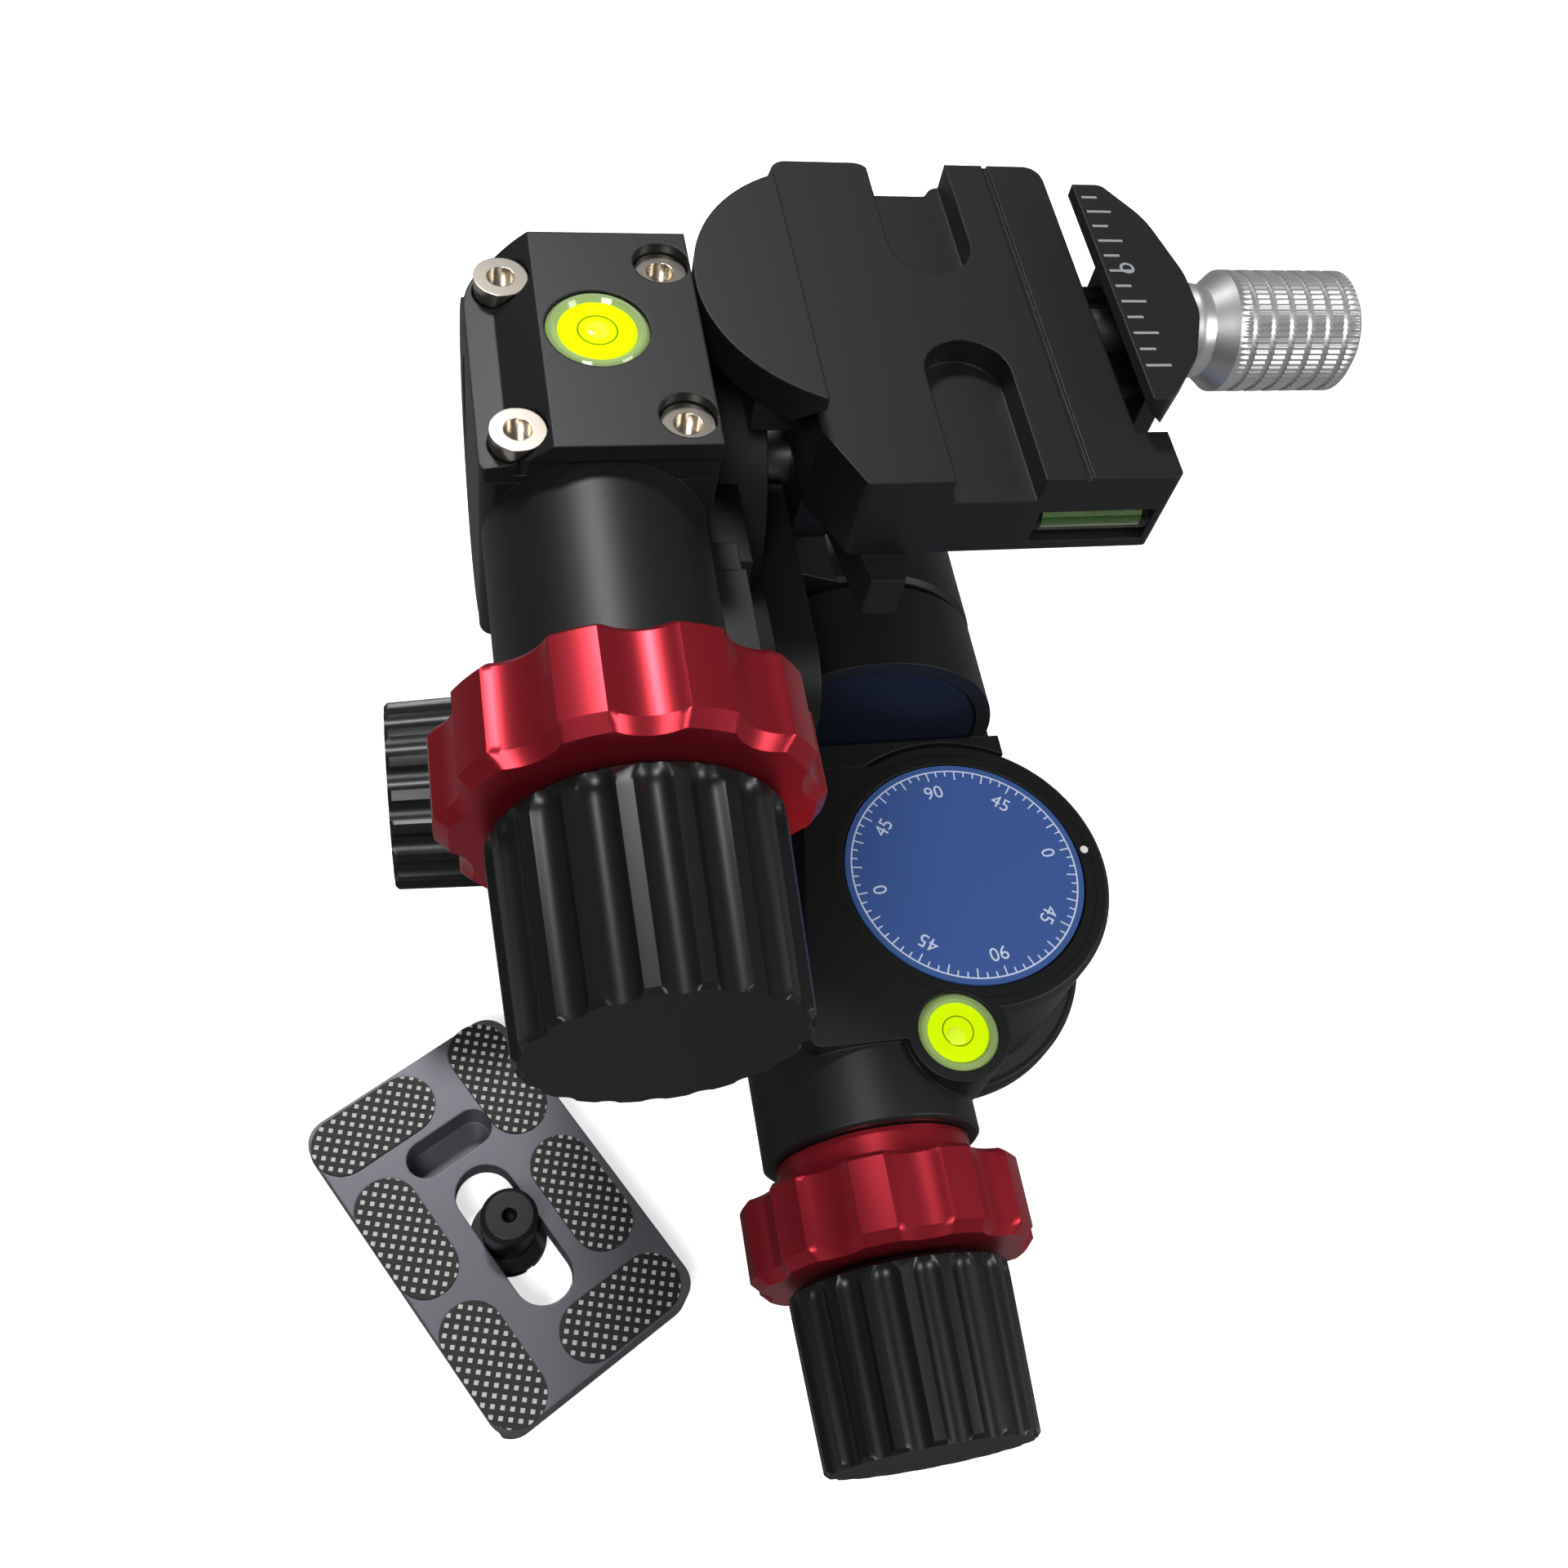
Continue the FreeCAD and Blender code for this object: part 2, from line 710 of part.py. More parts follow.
def pan_case():
    drum = turned((
        (0, CASE_BOTTOM),
        (CASE_R, CASE_BOTTOM),
        (CASE_R, CASE_TOP - 0.8),
        (CASE_R - 0.8, CASE_TOP),
        (0, CASE_TOP),
    ))
    saddle = plate((
        (PAN_CASE_RIGHT, 0),
        (PAN_CASE_RIGHT, PAN_CASE_BACK),
        (PAN_CASE_LEFT_BACK, PAN_CASE_BACK),
        (PAN_CASE_LEFT_BACK - 2, 10.8),
        (PAN_CASE_LEFT_FRONT, PAN_SADDLE_Y, 2),
        (PAN_VIAL_X, PAN_SADDLE_Y),
        (0, -20),
    ), CASE_BOTTOM, CASE_TOP)
    worm_house = PAN_DRIVE.housing(PAN_TUNNEL_R, -PAN_CASE_BACK)
    worm_house = worm_house.cut(box(-60, 10, -BASE_R - 1, 30, -20, CASE_BOTTOM))
    worm_house = worm_house.common(box(-60, 60, -90, PAN_CASE_BACK, -20, CASE_TOP - 0.3))
    ear = rod(vec(PAN_VIAL_X, PAN_VIAL_Y, CASE_TOP - EAR_DEPTH), Z, VIAL_R + EAR_WALL, EAR_DEPTH)
    body = joined(drum, saddle, worm_house, ear)
    rooms = [
        rod(vec(0, 0, CASE_BOTTOM), Z, WHEEL_ROOM_R, WHEEL_TOP + 0.6 - CASE_BOTTOM),
        rod(vec(0, 0, 0), Z, PAN_JOURNAL_R + RUN, CASE_TOP),
        rod(vec(0, 0, NUT_BOTTOM), Z, NUT_R + 0.5, NUT_HEIGHT + 5),
        rod(vec(0, 0, SPINDLE_TOP - 0.2), Z, DIAL_R + AIR, 5),
        vial_room(PAN_VIAL_X, PAN_VIAL_Y, CASE_TOP),
        rod(vec(INDEX_DOT_X, INDEX_DOT_Y, CASE_TOP - 0.5), Z, INDEX_DOT_R, 2),
        PAN_DRIVE.bore(),
        roll_case_screw_rooms(),
    ]
    for room in rooms:
        body = body.cut(room)
    return body


def pan_index_dot():
    return rod(vec(INDEX_DOT_X, INDEX_DOT_Y, CASE_TOP - 0.5), Z, INDEX_DOT_R - SEAT, 0.5)


def pan_level_cup():
    return vial_cup(PAN_VIAL_X, PAN_VIAL_Y, CASE_TOP)


def pan_level_fluid():
    return vial_fluid(PAN_VIAL_X, PAN_VIAL_Y, CASE_TOP)


# Roll unit, fixed half

def roll_axis_rod(radius, y0, y1):
    return rod(vec(ROLL_X, y0, ROLL_Z), Y, radius, y1 - y0)


def roll_case_screw_seats():
    length = ROLL_CASE_BACK - PAN_CASE_BACK + ROLL_SCREW_REACH
    for x, z in ROLL_CASE_SCREWS:
        yield vec(x, ROLL_CASE_BACK - 0.4, z), length


def roll_case_screws():
    return group(
        screw(head, -Y, SMALL_SHANK_R, SMALL_HEAD_R, SMALL_HEAD, length, SMALL_SOCKET_R)
        for head, length in roll_case_screw_seats()
    )


def roll_case_screw_rooms():
    return group(
        screw_room(head, -Y, SMALL_SHANK_R, SMALL_HEAD_R, SMALL_HEAD, length)
        for head, length in roll_case_screw_seats()
    )


WHEEL_FRONT = ROLL_WHEEL_Y - ROLL_WHEEL_WIDTH / 2
WHEEL_BACK = ROLL_WHEEL_Y + ROLL_WHEEL_WIDTH / 2
WEB_FRONT = ROLL_CASE_BACK - ROLL_WEB
DIAL_ROOM_BACK = ROLL_DIAL_FACE + ROLL_DIAL_THICKNESS + 0.5


def roll_case():
    drum_front = PAN_CASE_BACK + ROLL_PAD_DEPTH
    drum = roll_axis_rod(ROLL_DRUM_R, drum_front, ROLL_CASE_BACK)
    pad = box(ROLL_CASE_LEFT, PAN_CASE_RIGHT, PAN_CASE_BACK, drum_front, CASE_BOTTOM, CASE_TOP)
    block = box(ROLL_CASE_LEFT, PAN_CASE_RIGHT, drum_front, ROLL_CASE_BACK, CASE_BOTTOM, CASE_TOP - 4)
    corner = front_plate((
        (ROLL_CASE_LEFT - 1, CASE_TOP + 1),
        (PAN_CASE_LEFT_BACK, CASE_TOP + 1),
        (ROLL_CASE_LEFT - 1, 27.0),
    ), PAN_CASE_BACK - 1, ROLL_CASE_BACK + 1)
    worm_house = ROLL_DRIVE.housing(ROLL_TUNNEL_R, ROLL_X - ROLL_CASE_LEFT - 2)
    body = joined(drum, pad.cut(corner), block.cut(corner), worm_house)
    rooms = [
        roll_axis_rod(DIAL_R + AIR, drum_front, DIAL_ROOM_BACK),
        roll_axis_rod(WHEEL_ROOM_R, drum_front, WEB_FRONT),
        roll_axis_rod(ROLL_JOURNAL_R + RUN, WEB_FRONT, ROLL_CASE_BACK + 1),
        rod(vec(0, 0, CASE_BOTTOM), Z, CASE_R + SEAT, CASE_TOP),
        ROLL_DRIVE.bore(),
        roll_case_screw_rooms(),
    ]
    for room in rooms:
        body = body.cut(room)
    return body


# Roll unit, turning half

def roll_shaft():
    dial_back = ROLL_DIAL_FACE + ROLL_DIAL_THICKNESS
    body = turned((
        (0, dial_back),
        (4, dial_back),
        (4, WHEEL_FRONT),
        (WHEEL_SEAT_R, WHEEL_FRONT),
        (WHEEL_SEAT_R, WEB_FRONT),
        (ROLL_JOURNAL_R, WEB_FRONT),
        (ROLL_JOURNAL_R, ARM_FRONT),
        (ARM_SPIGOT_R, ARM_FRONT),
        (ARM_SPIGOT_R, ARM_FLOOR),
        (0, ARM_FLOOR),
    ), vec(ROLL_X, 0, ROLL_Z), Y)
    return body.cut(roll_arm_screw_rooms())


def roll_wheel():
    wheel = gear_wheel(WHEEL_SEAT_R + SEAT, ROLL_WHEEL_WIDTH)
    wheel.Placement = FreeCAD.Placement(vec(ROLL_X, ROLL_WHEEL_Y, ROLL_Z), FreeCAD.Rotation(Z, Y))
    return wheel


def roll_dial():
    return roll_axis_rod(DIAL_R, ROLL_DIAL_FACE, ROLL_DIAL_FACE + ROLL_DIAL_THICKNESS)


def roll_arm_screw_seats():
    for i in range(3):
        angle = 2 * math.pi * (i + 0.25) / 3
        x = ROLL_X + ARM_SCREW_CIRCLE * math.cos(angle)
        z = ROLL_Z + ARM_SCREW_CIRCLE * math.sin(angle)
        yield vec(x, ARM_FLOOR - 0.2, z)


def roll_arm_screws():
    return group(
        screw(head, -Y, SMALL_SHANK_R, 1.9, SMALL_HEAD, ARM_FLOOR - WEB_FRONT - 1.5, 1.0)
        for head in roll_arm_screw_seats()
    )


def roll_arm_screw_rooms():
    return group(
        rod(head, -Y, SMALL_SHANK_R + SEAT, ARM_FLOOR - WEB_FRONT - 1.3)
        for head in roll_arm_screw_seats()
    )


def roll_arm():
    edge = 0.8
    drum = turned((
        (0, ARM_FRONT),
        (ARM_DRUM_R - edge, ARM_FRONT),
        (ARM_DRUM_R, ARM_FRONT + edge),
        (ARM_DRUM_R, ARM_BACK - edge),
        (ARM_DRUM_R - edge, ARM_BACK),
        (0, ARM_BACK),
    ), vec(ROLL_X, 0, ROLL_Z), Y)
    right = WALL_LEFT + WALL_THICKNESS
    wall = side_plate((
        (WALL_FRONT, WALL_UNDERSIDE + 8, WALL_CORNER_R),
        (ARM_FRONT, WALL_UNDERSIDE - 4, 4),
        (ARM_FRONT, ROLL_Z - 8, 3),
        (ARM_BACK, ROLL_Z - 8, 3),
        (ARM_BACK, WALL_TOP, 4),
        (WALL_FRONT, WALL_TOP, WALL_CORNER_R),
    ), WALL_LEFT, right)
    gusset = front_plate((
        (WALL_LEFT, ROLL_Z - 6),
        (ROLL_X, ROLL_Z - 6),
        (ROLL_X - 4, ROLL_Z + ARM_DRUM_R - 1),
        (right, ROLL_Z + ARM_DRUM_R + 4),
        (WALL_LEFT, ROLL_Z + ARM_DRUM_R + 4),
    ), ARM_FRONT, ARM_BACK)
    body = joined(drum, wall, gusset)
    heads = group(
        rod(head + Y * 10, -Y, 1.9 + 0.1, 10 + SMALL_HEAD) for head in roll_arm_screw_seats()
    )
    notch_r = TILT_SHAFT_R + 0.6
    rooms = [
        roll_axis_rod(ARM_SPIGOT_R + SEAT, ARM_FRONT, ARM_FLOOR),
        roll_axis_rod(ARM_ROOM_R, ARM_FLOOR, ARM_BACK),
        roll_arm_screw_rooms(),
        heads,
        rod(vec(WALL_LEFT, TILT_Y, TILT_Z), X, notch_r, WALL_THICKNESS),
        box(WALL_LEFT, right, TILT_Y - notch_r, TILT_Y + notch_r, TILT_Z, WALL_TOP + 1),
        tilt_case_screw_rooms(),
    ]
    for room in rooms:
        body = body.cut(room)
    return body


# Tilt unit, fixed half

def tilt_axis_rod(radius, x0, x1):
    return rod(vec(x0, TILT_Y, TILT_Z), X, radius, x1 - x0)


def tilt_case_screws():
    return group(
        screw(vec(WALL_LEFT + WALL_THICKNESS - 0.2, y, z), -X, SMALL_SHANK_R, SMALL_HEAD_R, SMALL_HEAD, SMALL_LENGTH, SMALL_SOCKET_R)
        for y, z in CASE_SCREWS
    )


def tilt_case_screw_rooms():
    return group(
        screw_room(vec(WALL_LEFT + WALL_THICKNESS - 0.2, y, z), -X, SMALL_SHANK_R, SMALL_HEAD_R, SMALL_HEAD, SMALL_LENGTH)
        for y, z in CASE_SCREWS
    )


def cover_screw_seats():
    for x, y in COVER_SCREWS:
        yield vec(x, y, COVER_SCREW_TOP)


def tilt_cover_screws():
    return group(
        screw(head, -Z, LARGE_SHANK_R, LARGE_HEAD_R, LARGE_HEAD, LARGE_LENGTH, LARGE_SOCKET_R)
        for head in cover_screw_seats()
    )


def cover_screw_rooms():
    return group(
        screw_room(head, -Z, LARGE_SHANK_R, LARGE_HEAD_R, LARGE_HEAD, LARGE_LENGTH)
        for head in cover_screw_seats()
    )


WHEEL_LEFT = TILT_WHEEL_X - TILT_WHEEL_WIDTH / 2
WHEEL_RIGHT = TILT_WHEEL_X + TILT_WHEEL_WIDTH / 2


def tilt_case():
    body = joined(
        plate((
            (BOX_LEFT, BOX_FRONT, 2),
            (BOX_RIGHT, BOX_FRONT),
            (BOX_RIGHT, BOX_BACK),
            (BOX_LEFT, BOX_BACK, BOX_CORNER_R),
        ), TILT_Z, COVER_BOTTOM),
        box(BOX_RIGHT - 1, SHELF_RIGHT, BOX_FRONT, BOX_BACK, TILT_Z, SHELF_TOP),
        tilt_axis_rod(TILT_DRUM_R, TILT_DRUM_LEFT, WALL_LEFT),
        TILT_DRIVE.housing(TILT_TUNNEL_R, -(BOX_BACK - TILT_Y)),
        TILT_DRIVE.put(rod(vec(0, 0, TILT_Y - TILT_TUNNEL_REAR), Z, WORM_BORE_R + 2, 12)),
        box(TILT_WHEEL_X, RIB_RIGHT, RIB_FRONT, RIB_BACK, RIB_TOP - RIB_DEPTH, RIB_TOP),
        box(TILT_WHEEL_X, RIB_RIGHT, RIB_BACK, BOX_FRONT, RIB_TOP - RIB_DEPTH, RIB_TOP - RIB_DEPTH / 2),
    )
    rooms = [
        tilt_axis_rod(WHEEL_ROOM_R, TILT_DRUM_LEFT, WHEEL_RIGHT + 0.6),
        tilt_axis_rod(TILT_SHAFT_R + RUN, WHEEL_RIGHT, WALL_LEFT),
        vial_room(TILT_VIAL_X, TILT_VIAL_Y, COVER_TOP),
        cover_screw_rooms(),
        tilt_case_screw_rooms(),
        TILT_DRIVE.bore(),
    ]
    for room in rooms:
        body = body.cut(room)
    return body


def tilt_cover():
    section = front_plate((
        (BOX_LEFT, COVER_BOTTOM),
        (BOX_RIGHT, COVER_BOTTOM),
        (BOX_RIGHT, COVER_TOP),
        (PLATEAU_LEFT, COVER_TOP),
        (SHOULDER_X, SHOULDER_Z),
        (BOX_LEFT, SHOULDER_Z - 0.6),
    ), BOX_FRONT - COVER_LIP, BOX_BACK)
    form = plate((
        (BOX_LEFT, BOX_FRONT - COVER_LIP, 2),
        (BOX_RIGHT, BOX_FRONT - COVER_LIP),
        (BOX_RIGHT, BOX_BACK),
        (BOX_LEFT, BOX_BACK, BOX_CORNER_R),
    ), COVER_BOTTOM, COVER_TOP)
    body = section.common(form)
    front_edge = BOX_FRONT - COVER_LIP
    rooms = [
        box(BOX_LEFT - 1, BOX_RIGHT + 1, front_edge - 1, BOX_FRONT, COVER_BOTTOM - 1, COVER_TOP - 2.6),
        TILT_DRIVE.housing(TILT_TUNNEL_R + SEAT, -(BOX_BACK - TILT_Y) - 5),
        vial_room(TILT_VIAL_X, TILT_VIAL_Y, COVER_TOP),
        cover_screw_rooms(),
    ]
    for room in rooms:
        body = body.cut(room)
    return body


def tilt_level_cup():
    return vial_cup(TILT_VIAL_X, TILT_VIAL_Y, COVER_TOP)


def tilt_level_fluid():
    return vial_fluid(TILT_VIAL_X, TILT_VIAL_Y, COVER_TOP)


# Tilt unit, turning half

def tilt_shaft():
    cap_r = WHEEL_ROOM_R - AIR
    return turned((
        (0, TILT_DRUM_LEFT + 0.5),
        (cap_r, TILT_DRUM_LEFT + 0.5),
        (cap_r, WHEEL_LEFT - 3),
        (TILT_SHAFT_R + 2, WHEEL_LEFT - 3),
        (TILT_SHAFT_R + 2, WHEEL_LEFT),
        (TILT_SHAFT_R, WHEEL_LEFT),
        (TILT_SHAFT_R, CRADLE_LEFT + CRADLE_EAR),
        (0, CRADLE_LEFT + CRADLE_EAR),
    ), vec(0, TILT_Y, TILT_Z), X)


def tilt_wheel():
    wheel = gear_wheel(TILT_SHAFT_R + SEAT, TILT_WHEEL_WIDTH)
    wheel.Placement = FreeCAD.Placement(vec(TILT_WHEEL_X, TILT_Y, TILT_Z), FreeCAD.Rotation(Z, X))
    return wheel


def cradle():
    ear = side_plate((
        (TILT_Y - CRADLE_EAR_R, TILT_Z - CRADLE_EAR_R, CRADLE_EAR_R - 0.5),
        (TILT_Y + CRADLE_EAR_R, TILT_Z - CRADLE_EAR_R, CRADLE_EAR_R - 0.5),
        (TILT_Y + CRADLE_EAR_R + 4, CLAMP_BOTTOM),
        (TILT_Y - CRADLE_EAR_R - 2.5, CLAMP_BOTTOM),
    ), CRADLE_LEFT, CRADLE_LEFT + CRADLE_EAR)
    foot = plate((
        (CRADLE_LEFT, FOOT_FRONT),
        (FOOT_RIGHT, FOOT_FRONT, 5),
        (FOOT_RIGHT, FOOT_BACK, 5),
        (CRADLE_LEFT, FOOT_BACK, 2),
    ), FOOT_BOTTOM, CLAMP_BOTTOM)
    hook = plate((
        (CRADLE_LEFT, HOOK_BACK),
        (CRADLE_LEFT, HOOK_FRONT),
        *HOOK_TIP,
        (HOOK_RIGHT, FOOT_FRONT),
        (HOOK_RIGHT, HOOK_BACK),
    ), CLAMP_BOTTOM - HOOK_HEIGHT, CLAMP_BOTTOM)
    body = joined(ear, foot, hook)
    body = body.cut(rod(vec(CRADLE_LEFT, TILT_Y, TILT_Z), X, TILT_SHAFT_R + SEAT, CRADLE_EAR))
    return body.cut(cradle_screw_rooms())


def cradle_screws():
    return group(
        screw(vec(x, y, FOOT_BOTTOM + 0.2), Z, SMALL_SHANK_R, SMALL_HEAD_R, SMALL_HEAD, SMALL_LENGTH, SMALL_SOCKET_R)
        for x, y in CRADLE_SCREWS
    )


def cradle_screw_rooms():
    return group(
        screw_room(vec(x, y, FOOT_BOTTOM + 0.2), Z, SMALL_SHANK_R, SMALL_HEAD_R, SMALL_HEAD, SMALL_LENGTH)
        for x, y in CRADLE_SCREWS
    )


# Clamp

def clamp_body():
    bumped = CLAMP_BACK + CLAMP_BUMP
    body = plate(CLAMP_POINTS, CLAMP_BOTTOM, CLAMP_FLOOR)
    ledge = box(LEDGE_LEFT, CLAMP_LEFT + 1, LEDGE_FRONT, LEDGE_BACK, LEDGE_BOTTOM, CLAMP_FLOOR)
    jaw_shelf = box(
        CLAMP_SIDE - 1, CLAMP_RIGHT, CLAMP_STEP - 1, SHELF_BACK, CLAMP_BOTTOM, TONGUE_BOTTOM - AIR)
    body = joined(body, ledge, jaw_shelf)
    half = SLOT_WIDTH / 2
    slot_floor = CLAMP_FLOOR - SLOT_DEPTH
    near = plate((
        (SLOT_X - half, CLAMP_FRONT - 5),
        (SLOT_X + half, CLAMP_FRONT - 5),
        (SLOT_X + half, NEAR_SLOT_END, half - 0.01),
        (SLOT_X - half, NEAR_SLOT_END, half - 0.01),
    ), slot_floor, JAW_TOP)
    far = plate((
        (SLOT_X - half, FAR_SLOT_START, half - 0.01),
        (SLOT_X + half, FAR_SLOT_START, half - 0.01),
        (SLOT_X + half, bumped + 5),
        (SLOT_X - half, bumped + 5),
    ), slot_floor, JAW_TOP)
    tongue_room = box(
        -JAW_TRAVEL - 5, CLAMP_RIGHT, SCREW_Y - TONGUE_HALF - AIR, SCREW_Y + TONGUE_HALF + AIR,
        TONGUE_BOTTOM - AIR, TONGUE_TOP + AIR)
    rooms = [
        near,
        far,
        box(-GROOVE_WIDTH / 2, GROOVE_WIDTH / 2, CLAMP_FRONT - 1, bumped + 1, CLAMP_FLOOR - GROOVE_DEPTH, JAW_TOP),
        tongue_room,
        rod(vec(-16, SCREW_Y, SCREW_Z), X, CLAMP_SCREW_R + AIR, 30),
        tube_vial_room(),
        fixed_jaw_screw_rooms(),
        cradle_screw_rooms(),
    ]
    for y in PIN_YS:
        rooms.append(rod(vec(-9, y, PIN_Z), X, PIN_R + AIR, 30))
    for room in rooms:
        body = body.cut(room)
    return body


def fixed_jaw():
    disc = rod(vec(FIXED_JAW_X, FIXED_JAW_Y, CLAMP_FLOOR), Z, FIXED_JAW_R, JAW_TOP - CLAMP_FLOOR)
    body = disc.common(box(-60, CLAMP_LEFT, 0, 90, CLAMP_FLOOR, JAW_TOP))
    undercut = front_plate((
        (CLAMP_LEFT + 1, CLAMP_FLOOR - 1),
        (CLAMP_LEFT + 1, JAW_TOP - LIP_FACE),
        (CLAMP_LEFT, JAW_TOP - LIP_FACE),
        (CLAMP_LEFT - DOVETAIL, CLAMP_FLOOR + 0.4),
        (CLAMP_LEFT - DOVETAIL, CLAMP_FLOOR - 1),
    ), 0, 90)
    return body.cut(undercut).cut(fixed_jaw_screw_rooms())


def fixed_jaw_screws():
    return group(
        screw(vec(x, y, LEDGE_BOTTOM + 0.2), Z, 1.2, 1.8, 2.5, 11.0, 0.9)
        for x, y in FIXED_JAW_SCREWS
    )


def fixed_jaw_screw_rooms():
    return group(
        joined(
            rod(vec(x, y, LEDGE_BOTTOM - 1), Z, 2.0, 1 + 0.2 + 2.5),
            rod(vec(x, y, LEDGE_BOTTOM), Z, 1.2 + SEAT, 11.4),
        )
        for x, y in FIXED_JAW_SCREWS
    )


def tube_vial_room():
    half = TUBE_VIAL_R + 0.1
    return box(
        TUBE_VIAL_LEFT - 0.1, TUBE_VIAL_RIGHT + 0.1, CLAMP_FRONT - 1, TUBE_VIAL_Y + half,
        TUBE_VIAL_Z - half, TUBE_VIAL_Z + half)


def clamp_vial():
    length = TUBE_VIAL_RIGHT - TUBE_VIAL_LEFT
    start = vec(TUBE_VIAL_LEFT, TUBE_VIAL_Y, TUBE_VIAL_Z)
    tube = rod(start, X, TUBE_VIAL_R, length)
    return tube.cut(rod(start + X * 1.0, X, TUBE_VIAL_R - 0.7, length - 2.0))


def clamp_vial_fluid():
    length = TUBE_VIAL_RIGHT - TUBE_VIAL_LEFT - 2.0
    return rod(vec(TUBE_VIAL_LEFT + 1.0, TUBE_VIAL_Y, TUBE_VIAL_Z), X, TUBE_VIAL_R - 0.7 - SEAT, length)


def moving_jaw():
    left = MOVING_JAW_X
    lip_bottom = CLAMP_FLOOR + AIR
    lip = plate(JAW_LIP_POINTS, lip_bottom, JAW_TOP)
    block = plate(JAW_BLOCK_POINTS, TONGUE_BOTTOM, lip_bottom)
    tongue = box(
        -5, JAW_BLOCK_LEFT + 1, SCREW_Y - TONGUE_HALF, SCREW_Y + TONGUE_HALF, TONGUE_BOTTOM, TONGUE_TOP)
    undercut = front_plate((
        (left - 1, lip_bottom - 1),
        (left - 1, JAW_TOP - LIP_FACE),
        (left, JAW_TOP - LIP_FACE),
        (left + DOVETAIL, lip_bottom + 0.1),
        (left + DOVETAIL, lip_bottom - 1),
    ), 0, 90)
    body = joined(lip.cut(undercut), block, tongue)
    body = body.cut(rod(vec(0, SCREW_Y, SCREW_Z), X, CLAMP_SCREW_R + AIR, 40))
    for y in PIN_YS:
        body = body.cut(rod(vec(0, y, PIN_Z), X, PIN_R + SEAT, 17.5))
    return body


def jaw_guide_pins():
    return group(rod(vec(-3, y, PIN_Z), X, PIN_R, 20.3) for y in PIN_YS)


def clamp_screw():
    return rod(vec(-10, SCREW_Y, SCREW_Z), X, CLAMP_SCREW_R, CLAMP_KNOB_GRIP + 22)


def clamp_knob():
    body = turned((
        (0, CLAMP_KNOB_BACK),
        (4.6, CLAMP_KNOB_BACK),
        (6.2, CLAMP_KNOB_BACK + 1.6),
        (6.6, CLAMP_KNOB_BACK + 3.2),
        (6.3, CLAMP_KNOB_GRIP - 2.0),
        (CLAMP_KNOB_R - 0.5, CLAMP_KNOB_GRIP),
        (CLAMP_KNOB_R, CLAMP_KNOB_GRIP + 0.6),
        (CLAMP_KNOB_R, CLAMP_KNOB_END - 1.0),
        (CLAMP_KNOB_R - 1.2, CLAMP_KNOB_END),
        (0, CLAMP_KNOB_END),
    ), vec(0, SCREW_Y, SCREW_Z), X)
    grooves = group(
        turned((
            (CLAMP_KNOB_R - 0.35, x - 0.4),
            (CLAMP_KNOB_R + 1, x - 0.7),
            (CLAMP_KNOB_R + 1, x + 0.7),
            (CLAMP_KNOB_R - 0.35, x + 0.4),
        ), vec(0, SCREW_Y, SCREW_Z), X)
        for x in [CLAMP_KNOB_GRIP + 3.0 + 2.8 * i for i in range(6)]
    )
    body = body.cut(grooves)
    return body.cut(rod(vec(CLAMP_KNOB_BACK, SCREW_Y, SCREW_Z), X, CLAMP_SCREW_R + SEAT, CLAMP_KNOB_GRIP - 8.8))


# Quick-release plate: u runs along it, v across it

PLATE_TOP = PLATE_BOTTOM + PLATE_THICKNESS


def laid(shape):
    shape = shape.copy()
    turn = FreeCAD.Placement(vec(PLATE_X, PLATE_Y, 0), FreeCAD.Rotation(Z, PLATE_TURN))
    shape.Placement = turn.multiply(shape.Placement)
    return shape


def stadium(u, v, length, width, along_u, z0, z1):
    half = width / 2
    reach = length / 2
    du, dv = (reach, half) if along_u else (half, reach)
    corner = half - 0.01
    return plate((
        (u - du, v - dv, corner),
        (u + du, v - dv, corner),
        (u + du, v + dv, corner),
        (u - du, v + dv, corner),
    ), z0, z1)


PADS = (
    (-25.2, -8.6, False),
    (-19.9, 13.2, True),
    (-5.6, -14.6, True),
    (5.6, 13.2, True),
    (19.9, -14.6, True),
    (25.2, 7.2, False),
)


def pads_at(z0, z1, grow):
    return group(
        stadium(u, v, PAD_LENGTH + grow, PAD_WIDTH + grow, along, z0, z1) for u, v, along in PADS
    )


def main_slot(extra, z0, z1):
    middle = (MAIN_SLOT_START + MAIN_SLOT_END) / 2
    length = MAIN_SLOT_END - MAIN_SLOT_START + 2 * (STUD_R + extra)
    return stadium(middle, 0, length, 2 * (STUD_R + extra), True, z0, z1)


